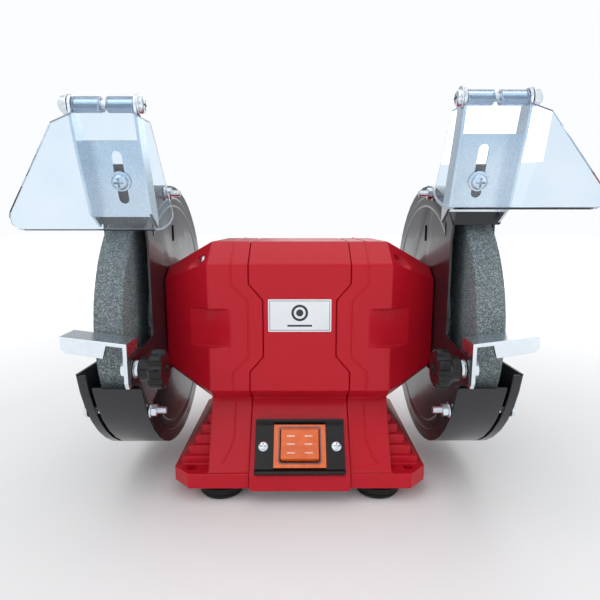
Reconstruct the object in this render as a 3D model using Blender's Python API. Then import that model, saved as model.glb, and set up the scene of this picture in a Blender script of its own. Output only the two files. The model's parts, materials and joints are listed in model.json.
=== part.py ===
# Bench grinder for two 200 mm wheels. Metres, +Z up, origin on the bench under the machine's middle.
# +X is the operator's right and -Y is the operator's side. Shapes are drawn round the arbor's centre,
# and an angle round the arbor starts at the operator's side and goes up over the top.
import math

import bmesh
import bpy
from mathutils import Vector

mm = 0.001

# Overall sizes
arbor_height = 128 * mm
housing_length = 210 * mm
housing_height = 126 * mm
housing_depth = 132 * mm
housing_wall = 4 * mm
pedestal_wall = 6.4 * mm
gap = 0.3 * mm  # between pieces that touch

# Housing: a barrel of eight flats whose ends taper to the guards
barrel_length = 133 * mm
barrel_chamfer = (24 * mm, 15.5 * mm)  # along Y and along Z
end_face_height = 84 * mm
end_face_depth = 76 * mm
end_face_chamfer = (14 * mm, 9 * mm)
end_wall = 17 * mm
seam_width = 74 * mm
seam_waist_width = 53.4 * mm
seam_waist_height = 42 * mm
seam_bend = 12 * mm
tie_bolt_place = (52 * mm, 48 * mm)
tie_bolt_span = 140 * mm
tie_bolt_radius = 2.5 * mm
tie_head_radius = 4.5 * mm
tie_head_height = 3.5 * mm
recess_length = 32 * mm
recess_height = 29 * mm

# Pedestal and base
neck_drop = 61 * mm
neck_depth = 104 * mm
base_width = 190 * mm
base_depth = 164 * mm
flange_thickness = 12 * mm
flange_chamfer = 13 * mm
foot_height = 8.7 * mm
base_sheet = 1.7 * mm
leg_width = 136 * mm
leg_foot_depth = 160 * mm
panel_foot_depth = 172 * mm
louvre_count = 6
louvre_step = (4.3 * mm, 6.6 * mm)  # outwards and down
louvre_depth = 92 * mm
fixing_hole_radius = 3.75 * mm
fixing_hole_place = (81.5 * mm, 72 * mm)
foot_place = (60 * mm, 62 * mm)
foot_radius = 18 * mm

# Motor
stator_radius = 50 * mm
stator_bore = 31 * mm
stator_length = 44 * mm
stator_rib = 5 * mm
winding_length = 17 * mm
air_gap = 0.6 * mm
rotor_shaft_radius = 12 * mm
journal_radius = 8.5 * mm
shaft_hole_radius = 11.5 * mm
bearing_radius = 17.5 * mm
bearing_width = 10 * mm
capacitor_radius = 14 * mm
capacitor_length = 56 * mm

# Wheels and what clamps them
wheel_diameter = 197 * mm  # a 200 mm wheel after some use
wheel_width = 20 * mm
spindle_radius = 8 * mm
flange_radius = 48 * mm
flange_hub_radius = 16 * mm
flange_width = 7 * mm
guard_to_flange = 3 * mm
outer_flange_width = 5.4 * mm
arbor_nut_flats = 24 * mm
arbor_nut_width = 9 * mm

# Guards
guard_clearance = 7 * mm
guard_sheet = 1.5 * mm
drum_width = 33.5 * mm
cover_groove = 2.5 * mm
cover_rim_width = 6.5 * mm
mouth_top = math.radians(46)
mouth_bottom = math.radians(-18)
mouth_back = 72 * mm
cover_edge_back = 42 * mm
cover_edge_drop = 23 * mm
dome_radius = 30 * mm
dome_height = 10 * mm
guard_bolt_radius = 2.5 * mm
guard_bolt_inset = 3 * mm
guard_bolt_angles = {
    "lower": math.radians(-31.5),
    "upper": math.radians(76),
    "rear": math.radians(200),
}

# Tool rests
rest_gap = 2.5 * mm
rest_depth = 20 * mm
rest_reach = 41 * mm
rest_sheet = 2.5 * mm
rest_rise = 5 * mm  # the plate climbs this much towards its outer end
rest_lip_drop = 8 * mm
rest_lip_start = 12 * mm
rest_leg_drop = 27 * mm
rest_bolt_drop = 15.5 * mm
rest_travel = (2 * mm, 6 * mm)  # towards the wheel and away from it
clamp_bolt_radius = 3 * mm
knob_radius = 12.8 * mm
knob_lobes = 7
knob_star_width = 9 * mm
knob_hub_radius = 8.5 * mm
knob_hub_width = 7 * mm

# Eye shields and their brackets
bracket_lean = math.radians(20.6)
bracket_set_out = 11.1 * mm  # from the guard's face to the bracket's middle
bracket_width = 40.5 * mm
bracket_sheet = 1.8 * mm
bracket_flange = 13 * mm
tab_rise = 29 * mm
tab_lap = 0.6 * mm  # the tab's face stands this far in front of the drum's end
web_below_screw = 22.5 * mm
web_above_screw = 27.3 * mm
slot_length = 34.4 * mm
slot_low = 13.2 * mm
hinge_above_screw = 49 * mm
hinge_forward = 5.5 * mm
bracket_raise = {"left": -2 * mm, "right": 2 * mm}
shield_tilt = {"left": math.radians(21), "right": math.radians(32)}
shield_sheet = 2.4 * mm
shield_clearance = 0.6 * mm  # on each side, between the bracket's cheeks
shield_shoulder = 58 * mm
shield_bottom = 91 * mm
shield_height = 80 * mm
hinge_bolt_radius = 3 * mm
knuckle_radius = 5 * mm
knuckle_split = 4.4 * mm

# Switch
switch_drop = 88.7 * mm
bezel_size = (66 * mm, 40 * mm)
bezel_thickness = 3.4 * mm
bezel_lip = 2.4 * mm
cover_size = (38.4 * mm, 31 * mm)
cover_thickness = 2.2 * mm
rocker_size = (28 * mm, 22 * mm)
rocker_swing = math.radians(8)
switch_body_size = (32 * mm, 25.5 * mm)
switch_body_depth = 20 * mm
switch_screw_spread = 54 * mm
gland_radius = 9 * mm
gland_collar = 3 * mm
gland_bore = 3.6 * mm

# Worked out from the sizes above
wheel_radius = wheel_diameter / 2
end_face = housing_length / 2
guard_face = end_face + gap
guard_back = guard_face + guard_sheet
guard_radius = wheel_radius + guard_clearance + guard_sheet
flange_start = guard_back + guard_to_flange
wheel_start = flange_start + flange_width + gap
wheel_end = wheel_start + wheel_width
outer_flange_end = wheel_end + gap + outer_flange_width
nut_start = outer_flange_end + gap
shaft_end = nut_start + arbor_nut_width + 2 * mm
drum_end = guard_face + drum_width
bracket_centre = guard_face + bracket_set_out
cover_start = drum_end + cover_groove
cover_outside = cover_start + cover_rim_width
rest_front = wheel_radius + rest_gap + rest_depth
flange_top = -(arbor_height - foot_height - base_sheet - 2 * gap - flange_thickness)
flange_bottom = flange_top - flange_thickness
bolt_circle = guard_radius - guard_sheet - guard_bolt_inset
shield_neck = bracket_width - 2 * (bracket_sheet + shield_clearance)


def clear_scene():
    for item in list(bpy.data.objects):
        bpy.data.objects.remove(item, do_unlink=True)


def look(name, colour, roughness, metallic=0.0, alpha=1.0):
    material = bpy.data.materials.new(name)
    material.use_nodes = True
    shader = material.node_tree.nodes["Principled BSDF"]
    shader.inputs["Base Color"].default_value = (*colour, 1)
    shader.inputs["Roughness"].default_value = roughness
    shader.inputs["Metallic"].default_value = metallic
    shader.inputs["Alpha"].default_value = alpha
    material.diffuse_color = (*colour, alpha)
    return material


def add(name, bm, material=None):
    bmesh.ops.recalc_face_normals(bm, faces=bm.faces)
    mesh = bpy.data.meshes.new(name)
    bm.to_mesh(mesh)
    bm.free()
    if material:
        mesh.materials.append(material)
    obj = bpy.data.objects.new(name, mesh)
    bpy.context.scene.collection.objects.link(obj)
    obj.parent = arbor
    return obj


def extrude(name, corners, travel, material=None):
    """A flat outline of 3-D corners drawn out along a vector."""
    bm = bmesh.new()
    face = bm.faces.new([bm.verts.new(corner) for corner in corners])
    drawn = bmesh.ops.extrude_face_region(bm, geom=[face])["geom"]
    moved = [item for item in drawn if isinstance(item, bmesh.types.BMVert)]
    bmesh.ops.translate(bm, verts=moved, vec=travel)
    return add(name, bm, material)


def along_x(name, outline, low, high, material=None):
    return extrude(name, [(low, y, z) for y, z in outline], (high - low, 0, 0), material)


def along_y(name, outline, low, high, material=None):
    return extrude(name, [(x, low, z) for x, z in outline], (0, high - low, 0), material)


def along_z(name, outline, low, high, material=None):
    return extrude(name, [(x, y, low) for x, y in outline], (0, 0, high - low), material)


def block(name, low, high, material=None):
    corners = [(low[1], low[2]), (high[1], low[2]), (high[1], high[2]), (low[1], high[2])]
    return along_x(name, corners, low[0], high[0], material)


def turned(name, profile, material=None, steps=24, axis="X", closed=False):
    """A profile of (distance along the axis, radius), spun a full turn."""
    bm = bmesh.new()
    spots = {"X": lambda a, r: (a, r, 0), "Y": lambda a, r: (r, a, 0), "Z": lambda a, r: (r, 0, a)}[axis]
    points = [bm.verts.new(spots(a, r)) for a, r in profile]
    ends = zip(points, points[1:] + points[:1]) if closed else zip(points, points[1:])
    edges = [bm.edges.new(pair) for pair in ends]
    line = {"X": (1, 0, 0), "Y": (0, 1, 0), "Z": (0, 0, 1)}[axis]
    bmesh.ops.spin(bm, geom=points + edges, cent=(0, 0, 0), axis=line, angle=math.tau, steps=steps)
    bmesh.ops.remove_doubles(bm, verts=bm.verts, dist=1e-6)
    return add(name, bm, material)


def rod(name, low, high, radius, material=None, steps=12, axis="X"):
    return turned(name, [(low, 0), (low, radius), (high, radius), (high, 0)], material, steps, axis)


def tube(name, low, high, bore, radius, material=None, steps=24, axis="X"):
    profile = [(low, bore), (low, radius), (high, radius), (high, bore)]
    return turned(name, profile, material, steps, axis, closed=True)


def loft(name, rings, material=None):
    """A closed solid through rings that have the same number of corners."""
    bm = bmesh.new()
    loops = [[bm.verts.new(corner) for corner in ring] for ring in rings]
    for near, far in zip(loops, loops[1:]):
        for i in range(len(near)):
            bm.faces.new((near[i - 1], near[i], far[i], far[i - 1]))
    bm.faces.new(loops[0])
    bm.faces.new(loops[-1])
    return add(name, bm, material)


def combine(target, tool, operation):
    step = target.modifiers.new(tool.name, "BOOLEAN")
    step.operation = operation
    step.object = tool
    tool.hide_render = True
    tool.display_type = "WIRE"


def cut(target, *tools):
    for tool in tools:
        combine(target, tool, "DIFFERENCE")


def join(target, *tools):
    for tool in tools:
        combine(target, tool, "UNION")


def move(obj, x=0.0, y=0.0, z=0.0):
    obj.location = (x, y, z)
    return obj


def polar(radius, angle):
    """(y, z) at an angle that starts at the operator's side and goes up."""
    return -radius * math.cos(angle), radius * math.sin(angle)


def arc(radius, start, end, steps):
    return [polar(radius, start + (end - start) * i / steps) for i in range(steps + 1)]


def polygon(radius, sides, turn=0.0):
    return [polar(radius, turn + math.tau * i / sides) for i in range(sides)]


def smooth(*objects):
    for obj in objects:
        obj.data.shade_smooth()
        obj.data.set_sharp_from_angle(angle=math.radians(35))


def mirrored(outline, side):
    return [(side * x, other) for x, other in outline]


# Housing

def barrel_ring(x, inset=0.0):
    """The eight corners of the barrel's section at x, which taper past the barrel's own length."""
    past = max(0.0, abs(x) - barrel_length / 2) / ((housing_length - barrel_length) / 2)
    def between(a, b):
        return a + (b - a) * past
    y = between(housing_depth, end_face_depth) / 2 - inset
    z = between(housing_height, end_face_height) / 2 - inset
    cut_y = between(barrel_chamfer[0], end_face_chamfer[0])
    cut_z = between(barrel_chamfer[1], end_face_chamfer[1])
    quarter = [(y, z - cut_z), (y - cut_y, z)]
    half = quarter + [(-a, b) for a, b in reversed(quarter)]
    return [(x, a, b) for a, b in half + [(-a, -b) for a, b in half]]


def seam_block(name, extra=0.0):
    """What lies between the two seams: a column with a waist, so that the three shells key together."""
    wide = seam_width / 2 + extra
    waist = seam_waist_width / 2 + extra
    side = [
        (wide, -arbor_height),
        (wide, -seam_waist_height / 2 - seam_bend),
        (waist, -seam_waist_height / 2),
        (waist, seam_waist_height / 2),
        (wide, seam_waist_height / 2 + seam_bend),
        (wide, housing_height),
    ]
    outline = side + [(-x, z) for x, z in reversed(side)]
    return along_y(name, outline, -base_depth, base_depth)


def pedestal_slope(foot_depth):
    """How far the pedestal spreads for each metre that it goes down."""
    return (foot_depth - neck_depth) / 2 / (-neck_drop - flange_top)


def pedestal_outline(foot_depth, inset=0.0):
    """(y, z) of the sloping pedestal: its neck is at the barrel and its foot on the base."""
    top = -neck_drop + barrel_chamfer[1]
    slope = pedestal_slope(foot_depth)
    top_y = neck_depth / 2 + slope * (-neck_drop - top) - inset
    foot_y = foot_depth / 2 - inset
    return [(-top_y, top), (-foot_y, flange_top), (foot_y, flange_top), (top_y, top)]


def pedestal_hollow(name, low, high, foot_depth):
    (top_y, top), (foot_y, knee) = pedestal_outline(foot_depth, pedestal_wall)[:2]
    half = [(top_y, top + housing_wall), (foot_y, knee), (foot_y, flange_bottom - housing_wall)]
    return along_x(name, half + [(-y, z) for y, z in reversed(half)], low, high)


def barrel_hollow(name, stations):
    hollow = loft(name, [barrel_ring(x, housing_wall) for x in stations])
    reach = max(abs(x) for x in stations) + housing_wall
    for i, (y, z) in enumerate(tie_bolt_places()):
        boss = rod(f"{name}_boss_{i}", -reach, reach, 3.2 * tie_bolt_radius)
        cut(hollow, move(boss, y=y, z=z))
    return hollow


def tie_bolt_places():
    y, z = tie_bolt_place
    return [(-y, z), (y, z), (-y, -z), (y, -z)]


def centre_housing(material):
    """The middle shell, with the sloping panel that holds the switch."""
    reach = seam_width / 2 + 5 * mm
    shell = loft("centre_housing", [barrel_ring(-reach), barrel_ring(reach)], material)
    panel = pedestal_outline(panel_foot_depth)
    half = panel_foot_depth / 2
    panel[2:2] = [(-half, flange_bottom), (half, flange_bottom)]
    join(shell, along_x("centre_panel", panel, -reach, reach))
    cut(shell, barrel_hollow("centre_hollow", (-reach - mm, reach + mm)))
    cut(shell, pedestal_hollow("centre_pedestal_hollow", -reach - mm, reach + mm, panel_foot_depth))
    half, inner = stator_length / 2, stator_radius + housing_wall / 2
    join(shell, tube("stator_sleeve", -half, half, stator_radius + 2 * gap, stator_radius + housing_wall))
    top = housing_height / 2 - mm
    join(shell, block("stator_rib_top", (-half, -stator_rib, inner), (half, stator_rib, top)))
    for end, face in (("front", -1), ("rear", 1)):
        near, far = sorted((face * inner, face * (housing_depth / 2 - mm)))
        join(shell, block(f"stator_rib_{end}", (-half, near, -stator_rib), (half, far, stator_rib)))
    combine(shell, seam_block("centre_limits"), "INTERSECT")
    for i, (y, z) in enumerate(tie_bolt_places()):
        bolt_hole = rod(f"centre_bolt_hole_{i}", -reach, reach, tie_bolt_radius + gap)
        cut(shell, move(bolt_hole, y=y, z=z))
    wide, high = (size / 2 + 2 * gap for size in switch_body_size)
    hole = block("switch_hole", (-wide, -switch_body_depth, -high), (wide, switch_body_depth, high))
    cut(shell, place_on_panel(hole))
    inlet = rod("gland_hole", -15 * mm, 15 * mm, gland_radius - gland_collar + gap, steps=16, axis="Y")
    cut(shell, place_on_rear(inlet))
    return shell


def end_housing(side_name, side, material):
    """An end shell: the barrel's tapered end, a leg with louvres, and half of the base flange."""
    name = f"{side_name}_end_housing"
    start = seam_waist_width / 2 - 6 * mm
    stations = (start, barrel_length / 2, end_face)
    shell = loft(name, [barrel_ring(side * x) for x in stations], material)
    leg = along_x(f"{name}_leg", pedestal_outline(leg_foot_depth), side * start, side * leg_width / 2)
    join(shell, leg)
    for i in range(louvre_count):
        out = leg_width / 2 + i * louvre_step[0]
        top = flange_top + (louvre_count - i) * louvre_step[1]
        half = louvre_depth / 2 + i * louvre_step[0]
        low, high = sorted((side * (leg_width / 2 - 10 * mm), side * out))
        join(shell, block(f"{name}_louvre_{i}", (low, -half, flange_top - mm), (high, half, top)))
    x, y, c = base_width / 2, base_depth / 2, flange_chamfer
    plate = [(start, -y), (x - c, -y), (x, -y + c), (x, y - c), (x - c, y), (start, y)]
    join(shell, along_z(f"{name}_flange", mirrored(plate, side), flange_bottom, flange_top))
    inside = (start - mm, barrel_length / 2 - housing_wall / 2, end_face - end_wall)
    hollow = barrel_hollow(f"{name}_hollow", tuple(side * x for x in inside))
    for face in (-1, 1):
        cut(hollow, crease_recess(f"{name}_recess_wall_{face}", side, face, housing_wall))
    cut(shell, hollow)
    low, high = side * (start - mm), side * (leg_width / 2 - pedestal_wall)
    cut(shell, pedestal_hollow(f"{name}_pedestal_hollow", low, high, leg_foot_depth))
    seat = end_face - end_wall + bearing_width + 2 * gap
    cut(shell, rod(f"{name}_seat", side * (seat - 20 * mm), side * seat, bearing_radius + gap, steps=24))
    low, high = side * (seat - mm), side * (end_face + mm)
    cut(shell, rod(f"{name}_shaft_hole", low, high, shaft_hole_radius, steps=24))
    for i, (y, z) in enumerate(tie_bolt_places()):
        hole = rod(f"{name}_bolt_hole_{i}", 0, side * end_face, tie_bolt_radius + gap)
        low, high = side * tie_bolt_span / 2, side * end_face
        pocket = rod(f"{name}_bolt_pocket_{i}", low, high, tie_head_radius + mm)
        cut(shell, move(hole, y=y, z=z), move(pocket, y=y, z=z))
    for end, face in (("front", -1), ("rear", 1)):
        cut(shell, crease_recess(f"{name}_{end}_recess", side, face))
        low, high = flange_bottom - mm, flange_top + mm
        hole = rod(f"{name}_{end}_fixing", low, high, fixing_hole_radius, steps=16, axis="Z")
        cut(shell, move(hole, side * fixing_hole_place[0], face * fixing_hole_place[1]))
    cut(shell, seam_block(f"{name}_limits", gap))
    return shell


def crease_recess(name, side, face, wall=0.0):
    """A flat taken off the crease where the barrel starts to taper. A wall grows it on every side."""
    near = (barrel_length - recess_length) / 2
    far = (barrel_length + recess_length) / 2
    near_y, far_y = housing_depth / 2 - wall, barrel_ring(far)[0][1] - wall
    slope = (near_y - far_y) / recess_length
    corners = [(near - wall, near_y + slope * wall), (far + wall, far_y - slope * wall),
               (far + wall, housing_depth), (near - wall, housing_depth)]
    outline = [(side * x, face * y) for x, y in corners]
    high = recess_height / 2 + wall
    return along_z(name, outline, -high, high)


def place_on_panel(obj):
    """Puts a piece, drawn upright and facing -Y, on the sloping panel where the switch sits."""
    slope = pedestal_slope(panel_foot_depth)
    y = -neck_depth / 2 - slope * (switch_drop - neck_drop)
    obj.location = (obj.location.x, y, -switch_drop)
    obj.rotation_euler.x = -math.atan(slope)
    return obj


def place_on_rear(obj):
    """Puts a piece, drawn upright and facing +Y, on the rear of the pedestal."""
    slope = pedestal_slope(panel_foot_depth)
    obj.location = (0, neck_depth / 2 + slope * (switch_drop - neck_drop), -switch_drop)
    obj.rotation_euler.x = math.atan(slope)
    return obj


def tie_bolt(name, y, z, material):
    """A long screw that clamps the three shells; its head is in the left shell's pocket."""
    start = -tie_bolt_span / 2 - gap
    bolt = turned(name, [(start - tie_head_height, 0), (start - tie_head_height, tie_head_radius),
                         (start, tie_head_radius), (start, tie_bolt_radius),
                         (tie_bolt_span / 2 - gap, tie_bolt_radius), (tie_bolt_span / 2 - gap, 0)], material, 12)
    return move(bolt, y=y, z=z)


def base(materials):
    half_x, half_y = foot_place[0] + foot_radius - 3 * mm, foot_place[1] + foot_radius - 4 * mm
    corner = 10 * mm
    half = [(half_x, half_y - corner), (half_x - corner, half_y), (corner - half_x, half_y),
            (-half_x, half_y - corner)]
    outline = half + [(-x, -y) for x, y in half]
    top = flange_bottom - gap
    along_z("base_plate", outline, top - base_sheet, top, materials["zinc"])
    for front, y in (("front", -1), ("rear", 1)):
        for side_name, x in (("left", -1), ("right", 1)):
            high = top - base_sheet - gap
            low = -arbor_height
            profile = [(low, 0), (low, foot_radius - 3 * mm), (low + 3 * mm, foot_radius - 0.5 * mm),
                       (high, foot_radius), (high, 0)]
            foot = turned(f"{front}_{side_name}_foot", profile, materials["rubber"], 16, "Z")
            smooth(move(foot, x * foot_place[0], y * foot_place[1]))


# Motor

def motor(materials):
    half = stator_length / 2
    tube("stator_core", -half, half, stator_bore, stator_radius, materials["lamination"], 24)
    for side_name, side in (("left", -1), ("right", 1)):
        near, far = side * (half + gap), side * (half + gap + winding_length)
        tube(f"{side_name}_winding", near, far, stator_bore + 3 * mm, stator_radius - 4 * mm, materials["copper"])
        seat = end_face - end_wall
        bearing = tube(f"{side_name}_bearing", side * (seat + gap), side * (seat + gap + bearing_width),
                       journal_radius + gap, bearing_radius, materials["steel"], 24)
        smooth(bearing)
    rotor = tube("rotor_core", -half - mm, half + mm, rotor_shaft_radius + gap, stator_bore - air_gap,
                 materials["lamination"], 24)
    shoulder = half + winding_length
    journal_end = flange_start - gap
    side = [(0, rotor_shaft_radius), (shoulder, rotor_shaft_radius), (shoulder, journal_radius),
            (journal_end, journal_radius), (journal_end, spindle_radius), (shaft_end, spindle_radius),
            (shaft_end, 0)]
    profile = [(-x, r) for x, r in reversed(side[1:])] + side[1:]
    shaft = turned("shaft", profile, materials["steel"], 16)
    smooth(shaft, rotor)
    reach = capacitor_length / 2
    can = rod("capacitor", -reach, reach, capacitor_radius, materials["aluminium"], 20)
    move(can, y=22 * mm, z=flange_bottom + capacitor_radius + 6 * mm)


# Wheels

def wheel_set(side_name, side, materials):
    bore = spindle_radius + gap
    edge = 1.2 * mm
    rim = [(wheel_start, bore), (wheel_start, wheel_radius - edge), (wheel_start + edge, wheel_radius),
           (wheel_end - edge, wheel_radius), (wheel_end, wheel_radius - edge), (wheel_end, bore)]
    wheel = turned(f"{side_name}_wheel", mirrored(rim, side), materials["abrasive"], 48, closed=True)
    hub, step = flange_hub_radius, flange_start + 3 * mm
    inner = [(flange_start, bore), (flange_start, hub), (step, hub), (step + 0.5 * mm, flange_radius), (wheel_start - gap, flange_radius),
             (wheel_start - gap, bore)]
    back = wheel_end + gap
    step = back + 3 * mm
    outer = [(back, bore), (back, flange_radius), (step, flange_radius), (step + 0.5 * mm, hub),
             (outer_flange_end, hub), (outer_flange_end, bore)]
    smooth(wheel,
           turned(f"{side_name}_inner_flange", mirrored(inner, side), materials["zinc"], 24, closed=True),
           turned(f"{side_name}_outer_flange", mirrored(outer, side), materials["zinc"], 24, closed=True))
    low, high = side * nut_start, side * (nut_start + arbor_nut_width)
    hexagon = polygon(arbor_nut_flats / 2 / math.cos(math.pi / 6), 6)
    nut = along_x(f"{side_name}_arbor_nut", hexagon, low, high, materials["zinc"])
    cut(nut, rod(f"{side_name}_arbor_nut_bore", low - side * mm, high + side * mm, bore, steps=16))


# Guards

def rest_bolt_place():
    return -(rest_front - rest_depth / 2 + 2 * mm), -rest_bolt_drop


def bracket_origin():
    """(y, z) of the bracket's screw on the face of the guard's tab."""
    y, z = polar(guard_radius, mouth_top)
    c, s = math.cos(bracket_lean), math.sin(bracket_lean)
    return y - tab_rise * s - tab_lap * c, z + tab_rise * c - tab_lap * s


def inner_guard(side_name, side, material):
    """A disc on the housing's end, a drum round the wheel, a lug for the rest and a tab for the shield."""
    name = f"{side_name}_inner_guard"
    x0, x1 = side * guard_face, side * guard_back
    full = math.tau
    bolt_y, bolt_z = rest_bolt_place()
    lug = [(bolt_y - 8 * mm, bolt_z + 8 * mm), (bolt_y - 8 * mm, bolt_z - 8 * mm)]
    sliver = math.radians(1)
    rim = arc(guard_radius - guard_sheet / 2, mouth_top - sliver, full + mouth_bottom + sliver, 36)
    disc = rim + [lug[1], lug[0], (-mouth_back, bolt_z + 12 * mm), (-mouth_back, rim[0][1] - 12 * mm)]
    guard = along_x(name, disc, x0, x1, material)
    low, high = x0 - side * mm, x1 + side * mm
    cut(guard, rod(f"{name}_shaft_hole", low, high, flange_hub_radius + 3 * mm, steps=24))
    band = arc(guard_radius, mouth_top, full + mouth_bottom, 36)
    band += reversed(arc(guard_radius - guard_sheet, mouth_top, full + mouth_bottom, 36))
    join(guard, along_x(f"{name}_drum", band, side * (guard_face + 0.5 * mm), side * drum_end))
    low, high = sorted((side * (guard_face + guard_sheet / 2), side * (drum_end - mm)))
    tab = block(f"{name}_tab", (low, 0, -tab_rise - 1.5 * mm), (high, 2 * mm, 10 * mm))
    lean(tab, bracket_origin())
    join(guard, tab)
    hole = rod(f"{name}_screw_hole", -5 * mm, 5 * mm, clamp_bolt_radius + gap, axis="Y")
    lean(move(hole, side * bracket_centre), bracket_origin())
    cut(guard, hole)
    rest_hole = rod(f"{name}_rest_hole", x0 - side * mm, x1 + side * mm, clamp_bolt_radius + gap)
    cut(guard, move(rest_hole, y=bolt_y, z=bolt_z))
    for place, angle in guard_bolt_angles.items():
        y, z = polar(bolt_circle, angle)
        hole = rod(f"{name}_{place}_hole", x0 - side * mm, x1 + side * mm, guard_bolt_radius + gap / 2)
        cut(guard, move(hole, y=y, z=z))
    return guard


def outer_cover(side_name, side, material):
    """The removable side of the guard, open where the operator works, with a dome over the arbor nut."""
    name = f"{side_name}_outer_cover"
    start = math.acos(cover_edge_back / guard_radius)
    end = math.tau - math.asin(cover_edge_drop / guard_radius)
    sliver = math.radians(0.5)
    plate = arc(guard_radius - guard_sheet / 2, start - sliver, end + sliver, 36)
    plate.append((-cover_edge_back, -cover_edge_drop))
    inside = cover_outside - guard_sheet
    cover = along_x(name, plate, side * inside, side * cover_outside, material)
    band = arc(guard_radius, start, end, 36)
    band += reversed(arc(guard_radius - guard_sheet, start, end, 36))
    join(cover, along_x(f"{name}_rim", band, side * cover_start, side * (cover_outside - 0.5 * mm)))
    near, far = side * (inside - mm), side * (cover_outside + mm)
    cut(cover, rod(f"{name}_opening", near, far, dome_radius, steps=20))
    top, seat = cover_outside + dome_height, dome_radius + 3 * mm
    narrow = dome_radius * 0.75
    dome = [(top - guard_sheet, 0), (top - guard_sheet, narrow - mm), (inside, dome_radius - 1.5 * mm),
            (inside, seat), (cover_outside, seat), (cover_outside, dome_radius), (top, narrow), (top, 0)]
    join(cover, turned(f"{name}_dome", mirrored(dome, side), steps=20))
    for place, angle in guard_bolt_angles.items():
        y, z = polar(bolt_circle, angle)
        hole = rod(f"{name}_{place}_hole", near, far, guard_bolt_radius + gap / 2)
        cut(cover, move(hole, y=y, z=z))
    return cover


def guard_bolt(side_name, side, place, material):
    """A long bolt that clamps the cover to the guard, with its nut and washer on the motor's side."""
    head, nut, end = 3.2 * mm, 4 * mm, 6.5 * mm
    y, z = polar(bolt_circle, guard_bolt_angles[place])
    washer, face = guard_face - gap, cover_outside + gap
    profile = [(face + head, 0), (face + head, 4.4 * mm), (face, 4.4 * mm),
               (face, guard_bolt_radius), (washer, guard_bolt_radius), (washer, 5 * mm),
               (washer - mm, 5 * mm), (washer - mm, 4.2 * mm), (washer - mm - nut, 4.2 * mm),
               (washer - mm - nut, guard_bolt_radius), (washer - mm - nut - end, guard_bolt_radius),
               (washer - mm - nut - end, 0)]
    bolt = turned(f"{side_name}_{place}_guard_bolt", mirrored(profile, side), material, 8)
    return move(bolt, y=y, z=z)


# Tool rests

def tool_rest(side_name, side, material):
    """A bent sheet: a slotted leg beside the wheel, a plate across the front of it and a folded lip."""
    name = f"{side_name}_tool_rest"
    bolt_y, bolt_z = rest_bolt_place()
    leg_x = guard_back + gap
    back, front = -(wheel_radius + rest_gap), -rest_front
    low, high = -rest_leg_drop, 0.5 * mm
    leg = [(back, high), (back, bolt_z), (back - 4 * mm, low), (front + 2 * mm, low),
           (front, low + 4 * mm), (front, high)]
    rest = along_x(name, leg, side * leg_x, side * (leg_x + rest_sheet), material)
    end = leg_x + rest_reach
    plate = [(leg_x, 0), (end, rest_rise), (end, rest_rise + rest_sheet), (leg_x, rest_sheet)]
    join(rest, along_y(f"{name}_plate", mirrored(plate, side), front, back))
    begin = leg_x + rest_lip_start
    begin_z = rest_rise * rest_lip_start / rest_reach
    lip = [(begin + 3 * mm, begin_z - rest_lip_drop), (end - 3 * mm, rest_rise - rest_lip_drop),
           (end, rest_rise - rest_lip_drop + 3 * mm), (end, rest_rise + rest_sheet - 0.2 * mm),
           (begin, begin_z + rest_sheet - 0.2 * mm)]
    join(rest, along_y(f"{name}_lip", mirrored(lip, side), front, front + rest_sheet))
    radius = clamp_bolt_radius + gap
    near, far = bolt_y - rest_travel[0], bolt_y + rest_travel[1]
    slot = [(near + radius * math.sin(a), bolt_z + radius * math.cos(a)) for a in half_turn(math.pi)]
    slot += [(far + radius * math.sin(a), bolt_z + radius * math.cos(a)) for a in half_turn(0)]
    cut(rest, along_x(f"{name}_slot", slot, side * (leg_x - mm), side * (leg_x + rest_sheet + mm)))
    return rest


def half_turn(start, steps=8):
    return [start + math.pi * i / steps for i in range(steps + 1)]


def rest_clamp(side_name, side, materials):
    """The rest's clamping bolt, with its lock nut, and the star knob on its end."""
    bolt_y, bolt_z = rest_bolt_place()
    head = guard_back + gap + rest_sheet + gap
    nut = guard_face - gap
    hub = nut - 3.2 * mm - gap
    star = hub - knob_hub_width
    r = clamp_bolt_radius
    bolt = [(head + 3 * mm, 0), (head + 3 * mm, 5 * mm), (head, 5.5 * mm), (head, r), (nut, r), (nut, 6 * mm),
            (nut - 3.2 * mm, 6 * mm), (nut - 3.2 * mm, r), (star, r), (star, 0)]
    clamp = turned(f"{side_name}_rest_bolt", mirrored(bolt, side), materials["zinc"], 12)
    move(clamp, y=bolt_y, z=bolt_z)
    count = knob_lobes * 6
    outline = [polar(knob_radius - 1.3 * mm * (1 - math.cos(knob_lobes * a)), a)
               for a in (math.tau * i / count for i in range(count))]
    knob = along_x(f"{side_name}_rest_knob", outline, side * (star - knob_star_width), side * star,
                   materials["black_plastic"])
    neck = rod(f"{side_name}_knob_hub", side * (star - mm), side * hub, knob_hub_radius, steps=16)
    bore = rod(f"{side_name}_knob_bore", side * (star - gap), side * (hub + mm), r + gap, steps=12)
    join(knob, neck)
    cut(knob, bore)
    for item in (knob, neck, bore):
        move(item, y=bolt_y, z=bolt_z)


# Eye shields

def lean(obj, origin, raised=0.0):
    """Tilts a piece drawn upright, facing -Y, to the bracket's plane through the screw."""
    y = origin[0] - raised * math.sin(bracket_lean)
    z = origin[1] + raised * math.cos(bracket_lean)
    obj.location = (obj.location.x, y, z)
    obj.rotation_euler.x = bracket_lean
    return obj


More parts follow.
